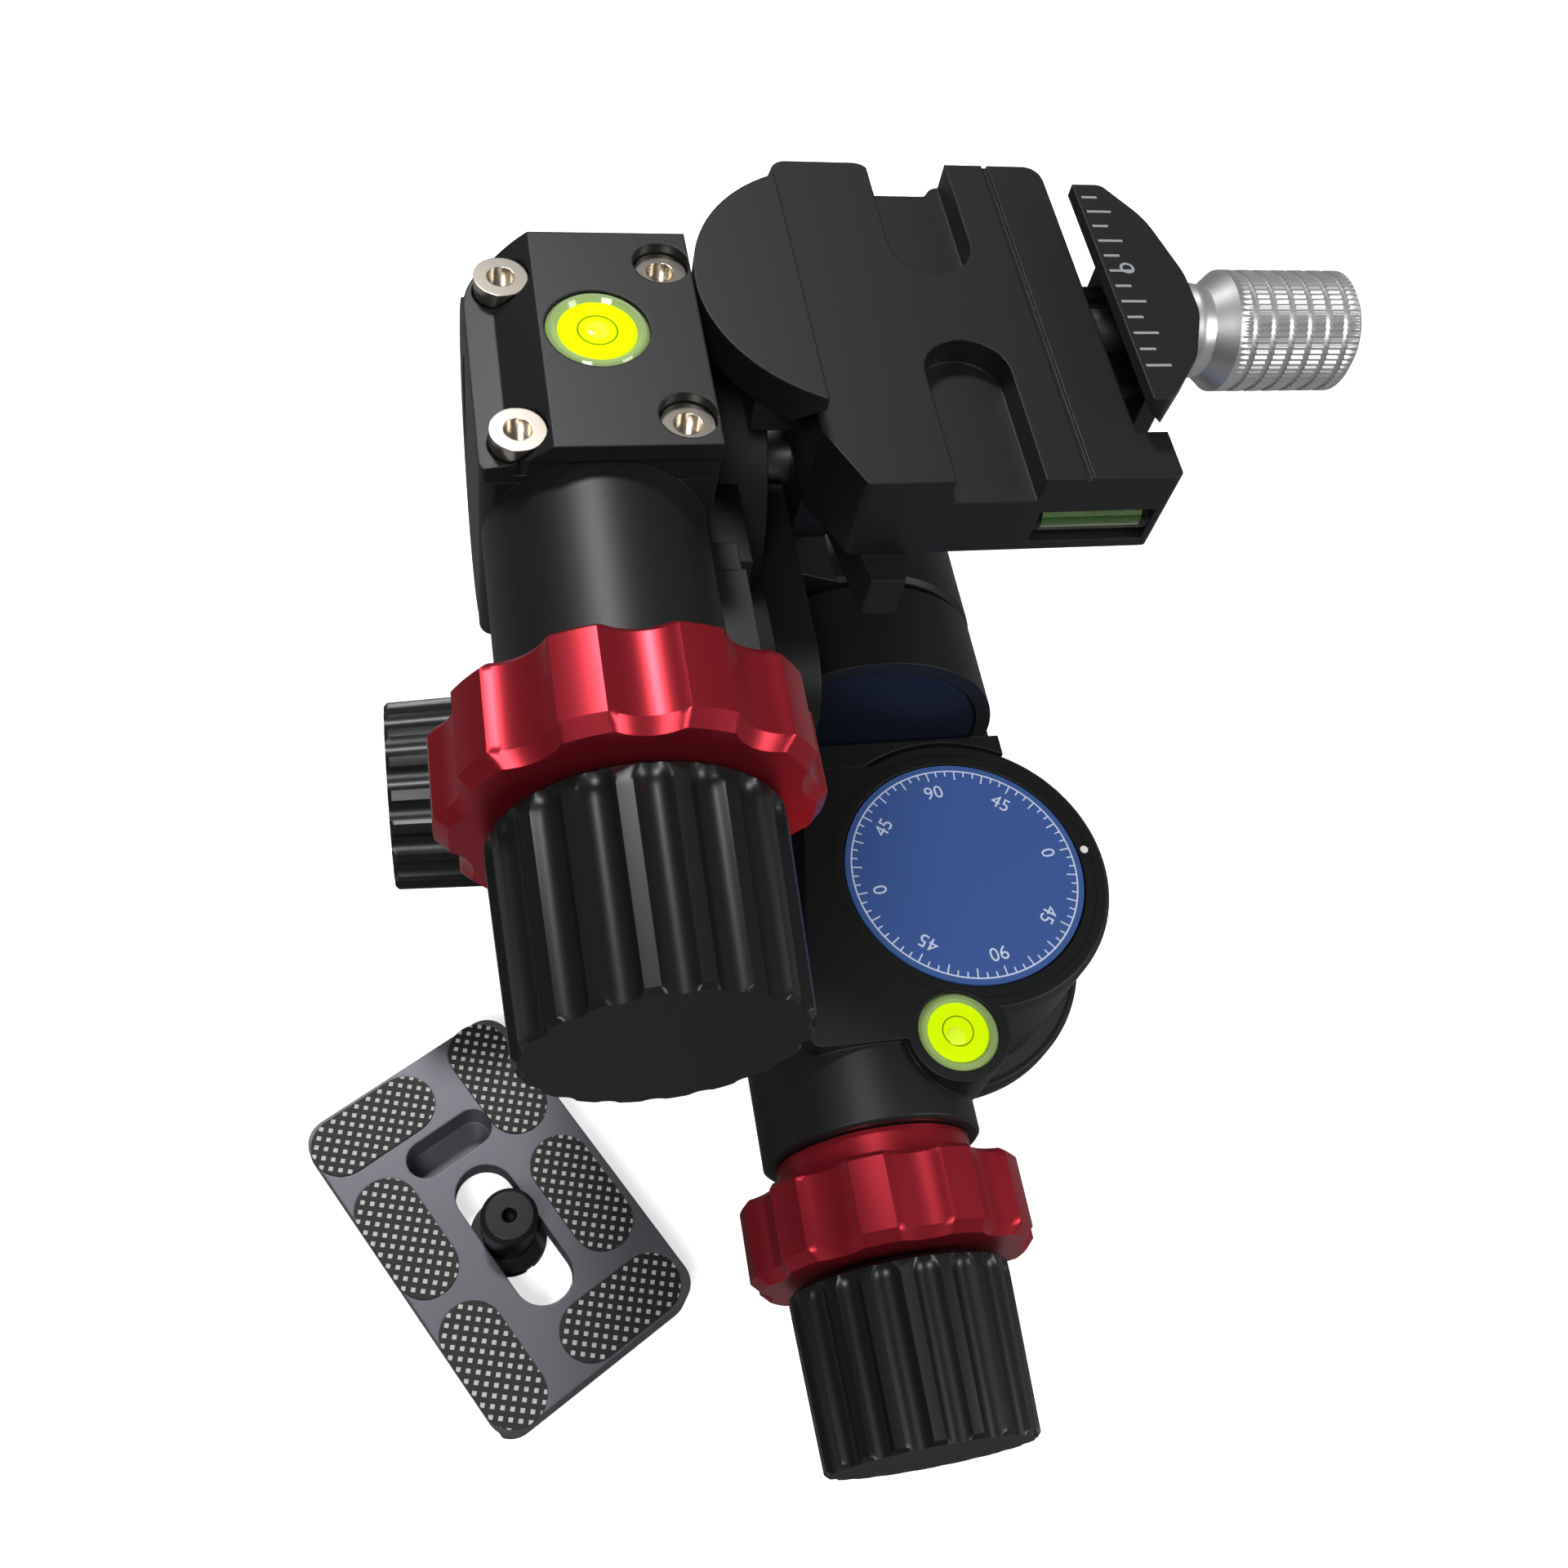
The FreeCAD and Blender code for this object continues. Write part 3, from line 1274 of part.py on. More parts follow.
def qr_plate():
    half = PLATE_WIDTH / 2
    rim = PLATE_TOP - PLATE_RIM
    section = Part.Face(Part.makePolygon([
        vec(0, y, z) for y, z in (
            (-half, PLATE_TOP),
            (half, PLATE_TOP),
            (half, rim),
            (PLATE_WAIST, rim - 2.6),
            (half - 0.8, PLATE_BOTTOM + 0.2),
            (half - 1.0, PLATE_BOTTOM),
            (1.0 - half, PLATE_BOTTOM),
            (0.8 - half, PLATE_BOTTOM + 0.2),
            (-PLATE_WAIST, rim - 2.6),
            (-half, rim),
            (-half, PLATE_TOP),
        )
    ])).extrude(vec(PLATE_LENGTH, 0, 0))
    section.translate(vec(-PLATE_LENGTH / 2, 0, 0))
    reach = PLATE_LENGTH / 2
    form = plate((
        (-reach, -half, PLATE_CORNER_R),
        (reach, -half, PLATE_CORNER_R),
        (reach, half, PLATE_CORNER_R),
        (-reach, half, PLATE_CORNER_R),
    ), PLATE_BOTTOM, PLATE_TOP)
    body = section.common(form)
    rooms = [
        pads_at(PLATE_TOP - PAD_DEPTH, PLATE_TOP + 1, 0),
        main_slot(AIR, PLATE_BOTTOM - 1, PLATE_TOP + 1),
        main_slot(STUD_HEAD_R - STUD_R + AIR, PLATE_BOTTOM - 1, PLATE_BOTTOM + STUD_HEAD_HEIGHT + 0.8),
        stadium(
            CROSS_SLOT_U, 0, CROSS_SLOT_LENGTH, CROSS_SLOT_WIDTH, False,
            PLATE_BOTTOM + CROSS_SLOT_FLOOR, PLATE_TOP + 1),
    ]
    for room in rooms:
        body = body.cut(room)
    return laid(body)


def qr_pads():
    return laid(pads_at(PLATE_TOP - PAD_DEPTH, PLATE_TOP + PAD_PROUD, -2 * SEAT))


def camera_screw():
    head_bottom = PLATE_BOTTOM + 0.5
    head_top = head_bottom + STUD_HEAD_HEIGHT
    top = PLATE_TOP + STUD_HEIGHT
    body = joined(
        rod(vec(STUD_U, 0, head_bottom), Z, STUD_HEAD_R, STUD_HEAD_HEIGHT),
        turned((
            (0, head_top),
            (STUD_NECK_R, head_top),
            (STUD_NECK_R, PLATE_TOP + STUD_NECK_RISE),
            (STUD_R, PLATE_TOP + STUD_NECK_RISE),
            (STUD_R, top - 0.8),
            (STUD_R - 0.8, top),
            (0, top),
        ), vec(STUD_U, 0, 0)),
    )
    body = body.cut(rod(vec(STUD_U, 0, top - 4), Z, 1.25, 5))
    slot = box(STUD_U - 10, STUD_U + 10, -0.7, 0.7, head_bottom - 1, head_bottom + 1.2)
    return laid(body.cut(slot))


def all_pieces():
    pieces = {
        "base_plate": base_plate(),
        "base_thread_bush": base_thread_bush(),
        "base_screws": base_screws(),
        "pan_spindle": pan_spindle(),
        "pan_wheel": pan_wheel(),
        "pan_thrust_ring": pan_thrust_ring(),
        "pan_spindle_nut": pan_spindle_nut(),
        "pan_dial": pan_dial(),
        "pan_case": pan_case(),
        "pan_index_dot": pan_index_dot(),
        "pan_level_cup": pan_level_cup(),
        "pan_level_fluid": pan_level_fluid(),
        "roll_case": roll_case(),
        "roll_case_screws": roll_case_screws(),
        "roll_shaft": roll_shaft(),
        "roll_wheel": roll_wheel(),
        "roll_dial": roll_dial(),
        "roll_arm": roll_arm(),
        "roll_arm_screws": roll_arm_screws(),
        "tilt_case": tilt_case(),
        "tilt_case_screws": tilt_case_screws(),
        "tilt_cover": tilt_cover(),
        "tilt_cover_screws": tilt_cover_screws(),
        "tilt_level_cup": tilt_level_cup(),
        "tilt_level_fluid": tilt_level_fluid(),
        "tilt_shaft": tilt_shaft(),
        "tilt_wheel": tilt_wheel(),
        "cradle": cradle(),
        "cradle_screws": cradle_screws(),
        "clamp_body": clamp_body(),
        "fixed_jaw": fixed_jaw(),
        "fixed_jaw_screws": fixed_jaw_screws(),
        "clamp_vial": clamp_vial(),
        "clamp_vial_fluid": clamp_vial_fluid(),
        "moving_jaw": moving_jaw(),
        "jaw_guide_pins": jaw_guide_pins(),
        "clamp_screw": clamp_screw(),
        "clamp_knob": clamp_knob(),
        "qr_plate": qr_plate(),
        "qr_pads": qr_pads(),
        "camera_screw": camera_screw(),
    }
    pieces.update(PAN_DRIVE.pieces("pan"))
    pieces.update(ROLL_DRIVE.pieces("roll"))
    pieces.update(TILT_DRIVE.pieces("tilt"))
    return pieces


def main():
    os.makedirs("parts", exist_ok=True)
    for name, shape in all_pieces().items():
        shape.exportStep("parts/" + name + ".step")
        print(name, len(shape.Solids), round(shape.Volume, 1), shape.isValid())


main()
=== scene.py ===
"""Looks of a geared tripod head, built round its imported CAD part. Metres, +Z up.

CAD nodes keep their shapes and get procedural finishes. Knobs, clutch rings, the clamp's knurled
knob, the printed numbers and the level bubbles are modelled here in finer detail.
"""

import json
import logging
import math
from dataclasses import dataclass, replace
from enum import Enum
from typing import Callable, Optional, Sequence, Union

import bpy
import numpy as np
from mathutils import Matrix, Vector

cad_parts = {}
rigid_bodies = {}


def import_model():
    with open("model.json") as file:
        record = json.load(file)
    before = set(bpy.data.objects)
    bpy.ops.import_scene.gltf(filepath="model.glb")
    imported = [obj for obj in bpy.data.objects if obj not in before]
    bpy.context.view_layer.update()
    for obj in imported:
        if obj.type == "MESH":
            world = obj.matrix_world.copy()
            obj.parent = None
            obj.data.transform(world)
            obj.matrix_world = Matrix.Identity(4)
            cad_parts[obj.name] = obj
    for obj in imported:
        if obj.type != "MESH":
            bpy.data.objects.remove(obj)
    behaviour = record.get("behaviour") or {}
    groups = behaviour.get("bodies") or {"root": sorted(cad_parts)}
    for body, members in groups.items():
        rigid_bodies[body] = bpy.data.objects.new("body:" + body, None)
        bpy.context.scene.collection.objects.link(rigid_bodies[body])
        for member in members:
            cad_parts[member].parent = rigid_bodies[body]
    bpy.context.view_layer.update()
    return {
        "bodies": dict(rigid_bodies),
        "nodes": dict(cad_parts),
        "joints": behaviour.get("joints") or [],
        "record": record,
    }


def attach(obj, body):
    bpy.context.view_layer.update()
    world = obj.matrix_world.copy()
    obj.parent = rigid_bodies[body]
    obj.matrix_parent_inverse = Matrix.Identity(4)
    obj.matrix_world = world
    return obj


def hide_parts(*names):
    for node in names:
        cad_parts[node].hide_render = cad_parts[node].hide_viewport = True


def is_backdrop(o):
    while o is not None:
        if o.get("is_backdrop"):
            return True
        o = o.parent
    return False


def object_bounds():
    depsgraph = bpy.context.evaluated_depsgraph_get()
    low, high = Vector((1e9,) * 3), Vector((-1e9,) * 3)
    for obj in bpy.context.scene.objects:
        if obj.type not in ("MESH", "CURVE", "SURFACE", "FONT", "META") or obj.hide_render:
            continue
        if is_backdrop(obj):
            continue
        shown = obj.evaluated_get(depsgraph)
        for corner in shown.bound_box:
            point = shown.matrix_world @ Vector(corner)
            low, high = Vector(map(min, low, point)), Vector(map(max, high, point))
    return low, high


LOG = logging.getLogger("tripod_head")

MM = 0.001
SHARP_DEGREES = 32
EDGE_SAMPLES = 6
GRAIN_DEPTH = 0.05
PRINT_DEPTH = 0.1

Point = tuple[float, float, float]
Profile = Sequence[tuple[float, float]]
Carve = Callable[[np.ndarray, np.ndarray, np.ndarray], np.ndarray]
Value = Union[float, Sequence[float], bpy.types.NodeSocket]


class Mark(Enum):
    """Pattern that is printed or moulded on a finish, or shade that is painted on it."""

    NONE = "none"
    DIAL = "dial"
    JAW_SCALE = "jaw scale"
    PAD_DOTS = "pad dots"
    CASE_GROOVE_SHADE = "case groove"
    LEVEL_CIRCLE = "level circle"


@dataclass(frozen=True)
class Finish:
    """Surface of one material. Lengths are in millimetres, colours are sRGB hex."""

    name: str
    colour: str
    metallic: float = 0.0
    roughness: float = 0.4
    specular: float = 0.5
    grain: float = 0.0
    grain_size: float = 0.25
    edge: float = 0.0
    clear: float = 0.0
    glow: float = 0.0
    mark: Mark = Mark.NONE
    mark_colour: str = "#FFFFFF"
    centre: tuple[float, float] = (0.0, 0.0)


# Bead-blasted aluminium, black anodised: a soft sheen, with thin light lines along the edges
BLACK = Finish("black", "#121314", roughness=0.46, specular=0.42, grain=0.06, edge=0.35)
# The pan case, with the shade in its turned groove round the dial painted as a near-black line
CASE = replace(BLACK, name="pan_case_black", mark=Mark.CASE_GROOVE_SHADE, mark_colour="#030303")
JAW = replace(BLACK, name="jaw_black", mark=Mark.JAW_SCALE, mark_colour="#8E9194")
# Moulded hard plastic of the knobs: deeper black and a little glossier than the aluminium
BLACK_KNOB = Finish("black_knob", "#0C0D0E", roughness=0.36, specular=0.45)
# The same plastic with a fine mould texture, on the knobs' flat ends: dull dark grey
KNOB_END = Finish("knob_end", "#1C1D1F", roughness=0.6, specular=0.25)
# Turned aluminium, red anodised: tinted metal with broad coloured highlights
RED = Finish("red_anodised", "#B02A35", metallic=0.8, roughness=0.34)
# Blue enamel with a printed scale: even and nearly matt
BLUE_DIAL = Finish("blue_dial", "#3D5F9F", roughness=0.45, mark=Mark.DIAL, mark_colour="#D6E2F6")
# Painted shade: the roll unit's blue dial, painted almost black for the shade that it lies in, and blue only
# where light falls on it
SHADED_BLUE_DIAL = Finish("navy_dial", "#0A1022", roughness=0.40)
# White enamel of the index dot: plain matt white
WHITE_PAINT = Finish("white_paint", "#F2F2EE", roughness=0.5)
# Turned bare steel: a neutral grey, with reflections blurred by the turning
STEEL = Finish("steel", "#A2A2A4", metallic=1.0, roughness=0.30)
# Nickel-plated steel of the cover screws: warm and bright, with clear reflections
BRIGHT_SCREWS = Finish("bright_screws", "#D8CFC2", metallic=1.0, roughness=0.22, edge=0.2)
# Turned bronze: brown-gold, with blurred reflections
BRONZE = Finish("bronze", "#B5894C", metallic=1.0, roughness=0.30)
# Moulded bearing plastic: dark grey and dull
BEARING = Finish("bearing_plastic", "#2B2C2E", roughness=0.5)
# Clear moulded acrylic: the fluid shows through it
CLEAR_VIAL = Finish("clear_vial", "#E9F5C8", roughness=0.04, clear=1.0)
# The same acrylic seen through its thick rim: greenish and half clear
VIAL_RIM = Finish("vial_rim", "#A9BF86", roughness=0.08, clear=0.35)
# Fluorescent yellow-green level fluid with a painted glow: its own colour is given off as light, so it is
# brighter than the light on it alone would make it
LEVEL_FLUID = Finish("level_fluid", "#D2F500", roughness=0.10, specular=0.2, glow=0.25)
# The same fluid with its printed centring circle, and the same painted glow
LEVEL_LINE = replace(LEVEL_FLUID, mark=Mark.LEVEL_CIRCLE, mark_colour="#6E8A08")
# Air bubble of the levels: a low dome a little lighter than the fluid, with the same painted glow as the
# fluid
BUBBLE = Finish("bubble", "#DDFB30", roughness=0.05, glow=0.25)
# Satin anodised aluminium of the clamp knob: pale silver with soft highlights
SILVER = Finish("silver_knob", "#DCDADA", metallic=0.9, roughness=0.38)
# Zinc-plated steel: a duller grey than bare steel
ZINC = Finish("zinc_steel", "#A5A59F", metallic=1.0, roughness=0.35)
# Milled aluminium, grey anodised: violet-grey with light edges
GREY_PLATE = Finish("grey_plate", "#67646D", metallic=0.45, roughness=0.42, grain=0.06, edge=0.4)
# Moulded rubber with raised light dots between its ribs: dull black
RUBBER = Finish("rubber_pad", "#0E0E0F", roughness=0.6, mark=Mark.PAD_DOTS, mark_colour="#B9B9B6")
# Blackened steel: black with a faint metal sheen
BLACK_STEEL = Finish("black_steel", "#191A1B", metallic=0.3, roughness=0.38, edge=0.25)
# Green fluid of the tube level, deep in its glass: dark and glossy
VIAL_GREEN = Finish("vial_green", "#1F4F27", roughness=0.15)
# Ink of the dial's numbers, as its scale
PRINT = Finish("print", "#D6E2F6", roughness=0.5)

SLOT_FINISHES = {
    finish.name: finish
    for finish in (
        BLACK, BLACK_KNOB, RED, BLUE_DIAL, SHADED_BLUE_DIAL, WHITE_PAINT, STEEL, BRIGHT_SCREWS, BRONZE,
        BEARING, CLEAR_VIAL, LEVEL_FLUID, SILVER, ZINC, GREY_PLATE, RUBBER, BLACK_STEEL,
    )
}
NODE_FINISHES = {
    "pan_case": CASE,
    "moving_jaw": JAW,
    "clamp_vial_fluid": VIAL_GREEN,
    "pan_level_fluid": LEVEL_LINE,
    "tilt_level_fluid": LEVEL_LINE,
}
PATTERN_CENTRES = {
    "moving_jaw": (12.4, 48.9),
    "qr_pads": (-78.0, -32.7),
    "pan_level_fluid": (-7.5, -27.1),
    "tilt_level_fluid": (-61.1, 37.6),
}


@dataclass(frozen=True)
class DialSize:
    """Printed scale of the numbered dial, in millimetres and degrees."""

    top: float = 32.7
    line_r: float = 19.1
    line_width: float = 0.26
    tick_step: float = 5.0
    tick_width: float = 0.24
    short_tick: float = 1.0
    long_tick: float = 1.7
    long_step: float = 15.0
    number_r: float = 15.1
    number_height: float = 2.5
    letter_scale: float = 1.35
    number_rise: float = 0.02
    zero_angle: float = 8.0
    numbers: tuple[str, ...] = ("0", "45", "90", "45", "0", "45", "90", "45")


@dataclass(frozen=True)
class DriveSize:
    """Knob and clutch ring of one worm shaft; heights run outwards along the shaft, in millimetres."""

    unit: str
    origin: Point
    axis: Point
    knob_back: float
    tunnel_end: float


@dataclass(frozen=True)
class KnobSize:
    """Fluted knob, in millimetres."""

    radius: float = 17.0
    end_radius: float = 16.1
    length: float = 25.5
    band: float = 2.5
    edge: float = 0.6
    flutes: int = 18
    flute_radius: float = 2.4
    flute_depth: float = 1.1
    hole: float = 3.3
    columns_per_flute: int = 20
    step: float = 0.6


@dataclass(frozen=True)
class RingSize:
    """Scalloped clutch ring, in millimetres."""

    radius: float = 22.3
    length: float = 13.0
    edge: float = 1.6
    scallops: int = 10
    scallop_radius: float = 7.0
    scallop_depth: float = 1.8
    to_knob: float = 1.2
    web: float = 3.5
    neck_radius: float = 15.5
    nose: float = 8.3
    spring_radius: float = 11.4
    spring_depth: float = 1.8
    shaft: float = 3.5
    tunnel_gap: float = 0.3
    shortest_neck: float = 1.0
    rim_wall: float = 1.0
    bevel_slope: float = 0.8
    columns_per_scallop: int = 32
    step: float = 0.8


@dataclass(frozen=True)
class ClampKnobSize:
    """Knurled clamp knob along +X, in millimetres."""

    origin: Point = (0.0, 47.0, 105.5)
    back: float = 21.0
    grip: float = 28.0
    end: float = 48.0
    radius: float = 8.4
    hole: float = 3.1
    collar: Profile = ((4.6, 0.0), (6.2, 1.6), (6.6, 3.2))
    waist_r: float = 6.3
    waist_length: float = 2.0
    grip_bevel: tuple[float, float] = (0.5, 0.6)
    end_bevel: tuple[float, float] = (1.2, 1.0)
    ridges: int = 64
    ridge_margin: float = 1.2
    ridge_depth: float = 0.22
    grooves: int = 6
    groove_start: float = 3.0
    groove_pitch: float = 2.8
    groove_depth: float = 0.4
    groove_top: float = 0.5
    groove_floor: float = 0.3
    columns_per_ridge: int = 6
    step: float = 0.5


@dataclass(frozen=True)
class LevelSize:
    """Rim and air bubble of a circular level, in millimetres; top is the middle of its upper face."""

    unit: str
    body: str
    top: Point
    drift: tuple[float, float]
    rim_r: float = 6.45
    window_r: float = 4.9
    depth: float = 5.8
    sunk: float = 0.5
    edge: float = 0.5
    bubble_r: float = 1.5
    rise: float = 0.25
    dome_angle: float = 1.45
    dome_rings: int = 9
    rim_columns: int = 64
    bubble_columns: int = 32
    step: float = 1.0


DIAL = DialSize()
KNOB = KnobSize()
RING = RingSize()
CLAMP_KNOB = ClampKnobSize()
DRIVES = (
    DriveSize("pan", (-20.1, 0.0, 14.4), (0.0, -1.0, 0.0), 59.3, 39.7),
    DriveSize("roll", (0.0, 32.5, 13.4), (-1.0, 0.0, 0.0), 66.0, 46.4),
    DriveSize("tilt", (-62.5, 0.0, 98.1), (0.0, -1.0, 0.0), 24.2, 9.4),
)
LEVELS = (
    LevelSize("pan", "pan", (-7.5, -27.3, 32.7), (-0.5, -0.6)),
    LevelSize("tilt", "roll", (-61.1, 37.5, 115.1), (0.0, 0.1)),
)


def linear(colour: str) -> tuple[float, float, float, float]:
    """Turns an sRGB hex colour into linear values.

    Args:
        colour: "#RRGGBB".

    Returns:
        Red, green, blue and an alpha of one.
    """
    shares = [int(colour[i:i + 2], 16) / 255 for i in (1, 3, 5)]
    red, green, blue = (s / 12.92 if s <= 0.04045 else ((s + 0.055) / 1.055) ** 2.4 for s in shares)
    return red, green, blue, 1.0


class Graph:
    """Node tree of one material, with short ways to add nodes and sums."""

    def __init__(self, tree: bpy.types.NodeTree) -> None:
        """Empties the tree.

        Args:
            tree: Node tree that is filled.
        """
        self.tree = tree
        self.tree.nodes.clear()

    def add(
        self, kind: str, inputs: Optional[dict[Union[str, int], Value]] = None, **settings: object,
    ) -> bpy.types.Node:
        """Adds a node.

        Args:
            kind: Node type name.
            inputs: Values or sockets for its inputs, by name or number.
            **settings: Properties of the node.

        Returns:
            The new node.
        """
        node = self.tree.nodes.new(kind)
        for name, value in settings.items():
            setattr(node, name, value)
        for name, value in (inputs or {}).items():
            if isinstance(value, bpy.types.NodeSocket):
                self.tree.links.new(value, node.inputs[name])
            else:
                node.inputs[name].default_value = value
        return node

    def math(self, operation: str, first: Value, second: Value = 0.0) -> bpy.types.NodeSocket:
        """Adds a math node.

        Args:
            operation: Blender's name of the operation.
            first: First value.
            second: Second value.

        Returns:
            The result's socket.
        """
        return self.add("ShaderNodeMath", {0: first, 1: second}, operation=operation).outputs[0]

    def both(self, *shares: bpy.types.NodeSocket) -> bpy.types.NodeSocket:
        """Multiplies masks.

        Args:
            *shares: Masks from zero to one.

        Returns:
            Mask that is one where all of them are.
        """
        result = shares[0]
        for share in shares[1:]:
            result = self.math("MULTIPLY", result, share)
        return result

    def within(self, value: Value, low: float, high: float) -> bpy.types.NodeSocket:
        """Marks a range of a value.

        Args:
            value: Value that is tested.
            low: Lower end.
            high: Upper end.

        Returns:
            Mask that is one between the ends.
        """
        return self.both(self.math("GREATER_THAN", value, low), self.math("LESS_THAN", value, high))

    def place(self) -> tuple[bpy.types.NodeSocket, bpy.types.NodeSocket, bpy.types.NodeSocket]:
        """Gives the shaded point.

        Returns:
            X, Y and Z in millimetres in the row frame at rest.
        """
        coordinates = self.add("ShaderNodeTexCoord").outputs["Object"]
        scaled = self.add("ShaderNodeVectorMath", {0: coordinates, 3: 1 / MM}, operation="SCALE").outputs[0]
        parts = self.add("ShaderNodeSeparateXYZ", {0: scaled})
        return parts.outputs[0], parts.outputs[1], parts.outputs[2]

    def to_nearest(self, value: Value, step: float) -> bpy.types.NodeSocket:
        """Measures how far a value is from the nearest multiple of a step.

        Args:
            value: Value that is tested.
            step: Distance between multiples.

        Returns:
            Distance, never negative.
        """
        share = self.math("FRACT", self.math("ADD", self.math("DIVIDE", value, step), 0.5))
        return self.math("MULTIPLY", self.math("ABSOLUTE", self.math("SUBTRACT", share, 0.5)), step)

    def distance(self, x: Value, y: Value, centre: tuple[float, float]) -> bpy.types.NodeSocket:
        """Measures the distance from a vertical axis.

        Args:
            x: X of the point.
            y: Y of the point.
            centre: X and Y of the axis.

        Returns:
            Distance in the same unit.
        """
        dx = self.math("SUBTRACT", x, centre[0])
        dy = self.math("SUBTRACT", y, centre[1])
        squares = self.math("ADD", self.math("MULTIPLY", dx, dx), self.math("MULTIPLY", dy, dy))
        return self.math("SQRT", squares)


def dial_mask(graph: Graph, finish: Finish) -> bpy.types.NodeSocket:
    """Marks the dial's circle line and its ticks, by radius and angle about the pan axis.

    Args:
        graph: Material's node tree.
        finish: Finish with the dial's centre.

    Returns:
        Mask of the print.
    """
    x, y, z = graph.place()
    radius = graph.distance(x, y, finish.centre)
    turn = graph.math("DEGREES", graph.math("ARCTAN2", y, x))
    angle = graph.math("ADD", turn, 360.0 - DIAL.zero_angle)
    half = DIAL.line_width / 2
    line = graph.within(radius, DIAL.line_r - half, DIAL.line_r + half)
    masks = [line]
    for step, length in ((DIAL.tick_step, DIAL.short_tick), (DIAL.long_step, DIAL.long_tick)):
        off = graph.math("MULTIPLY", graph.to_nearest(angle, step), math.radians(1.0))
        near = graph.math("LESS_THAN", graph.math("MULTIPLY", off, radius), DIAL.tick_width / 2)
        masks.append(graph.both(near, graph.within(radius, DIAL.line_r - length, DIAL.line_r)))
    shown = graph.math("MAXIMUM", graph.math("MAXIMUM", masks[0], masks[1]), masks[2])
    return graph.both(shown, graph.math("GREATER_THAN", z, DIAL.top - PRINT_DEPTH))


def jaw_mask(graph: Graph, finish: Finish) -> bpy.types.NodeSocket:
    """Marks the scale on the moving jaw's top: short and long ticks by turns, and a ring.

    Args:
        graph: Material's node tree.
        finish: Finish with the ring's centre.

    Returns:
        Mask of the print.
    """
    first, pitch, count = 30.7, 2.95, 12
    start, short, long, half = 9.7, 2.3, 3.6, 0.22
    ring_r, ring_half, top = 0.85, 0.2, 114.9
    x, y, z = graph.place()
    along = graph.math("SUBTRACT", y, first)
    near = graph.math("LESS_THAN", graph.to_nearest(along, pitch), half)
    inside = graph.within(along, -pitch / 2, (count - 0.5) * pitch)
    even = graph.math("LESS_THAN", graph.to_nearest(along, 2 * pitch), pitch / 2)
    stop = graph.math("ADD", graph.math("MULTIPLY", even, long - short), start + short)
    reach = graph.both(graph.math("GREATER_THAN", x, start), graph.math("LESS_THAN", x, stop))
    ticks = graph.both(near, inside, reach)
    radius = graph.distance(x, y, finish.centre)
    ring = graph.within(radius, ring_r - ring_half, ring_r + ring_half)
    return graph.both(graph.math("MAXIMUM", ticks, ring), graph.math("GREATER_THAN", z, top))


def dots_mask(graph: Graph, finish: Finish) -> bpy.types.NodeSocket:
    """Marks the small squares between the diagonal ribs of the rubber pads.

    Args:
        graph: Material's node tree.
        finish: Finish with the plate's centre.

    Returns:
        Mask of the squares.
    """
    turn, pitch, half, top = math.radians(-60.3 + 45.0), 1.62, 0.36, -17.4
    x, y, z = graph.place()
    dx = graph.math("SUBTRACT", x, finish.centre[0])
    dy = graph.math("SUBTRACT", y, finish.centre[1])
    cos, sin = math.cos(turn), math.sin(turn)
    u = graph.math("ADD", graph.math("MULTIPLY", dx, cos), graph.math("MULTIPLY", dy, sin))
    v = graph.math("SUBTRACT", graph.math("MULTIPLY", dy, cos), graph.math("MULTIPLY", dx, sin))
    near_u = graph.math("LESS_THAN", graph.to_nearest(u, pitch), half)
    near_v = graph.math("LESS_THAN", graph.to_nearest(v, pitch), half)
    return graph.both(near_u, near_v, graph.math("GREATER_THAN", z, top))


def groove_shade_mask(graph: Graph, finish: Finish) -> bpy.types.NodeSocket:
    """Marks the thin turned groove on the pan case, round the dial, whose shade is painted as a dark line.

    Args:
        graph: Material's node tree.
        finish: Finish with the line's centre.

    Returns:
        Mask of the line.
    """
    radius_mm, half = 22.3, 0.13
    x, y, z = graph.place()
    line = graph.within(graph.distance(x, y, finish.centre), radius_mm - half, radius_mm + half)
    return graph.both(line, graph.math("GREATER_THAN", z, DIAL.top - PRINT_DEPTH))


def circle_mask(graph: Graph, finish: Finish) -> bpy.types.NodeSocket:
    """Marks the centring circle of a level.

    Args:
        graph: Material's node tree.
        finish: Finish with the circle's centre.

    Returns:
        Mask of the circle.
    """
    radius_mm, half = 2.45, 0.11
    x, y, _ = graph.place()
    return graph.within(graph.distance(x, y, finish.centre), radius_mm - half, radius_mm + half)


MASKS = {
    Mark.DIAL: dial_mask,
    Mark.JAW_SCALE: jaw_mask,
    Mark.PAD_DOTS: dots_mask,
    Mark.CASE_GROOVE_SHADE: groove_shade_mask,
    Mark.LEVEL_CIRCLE: circle_mask,
}


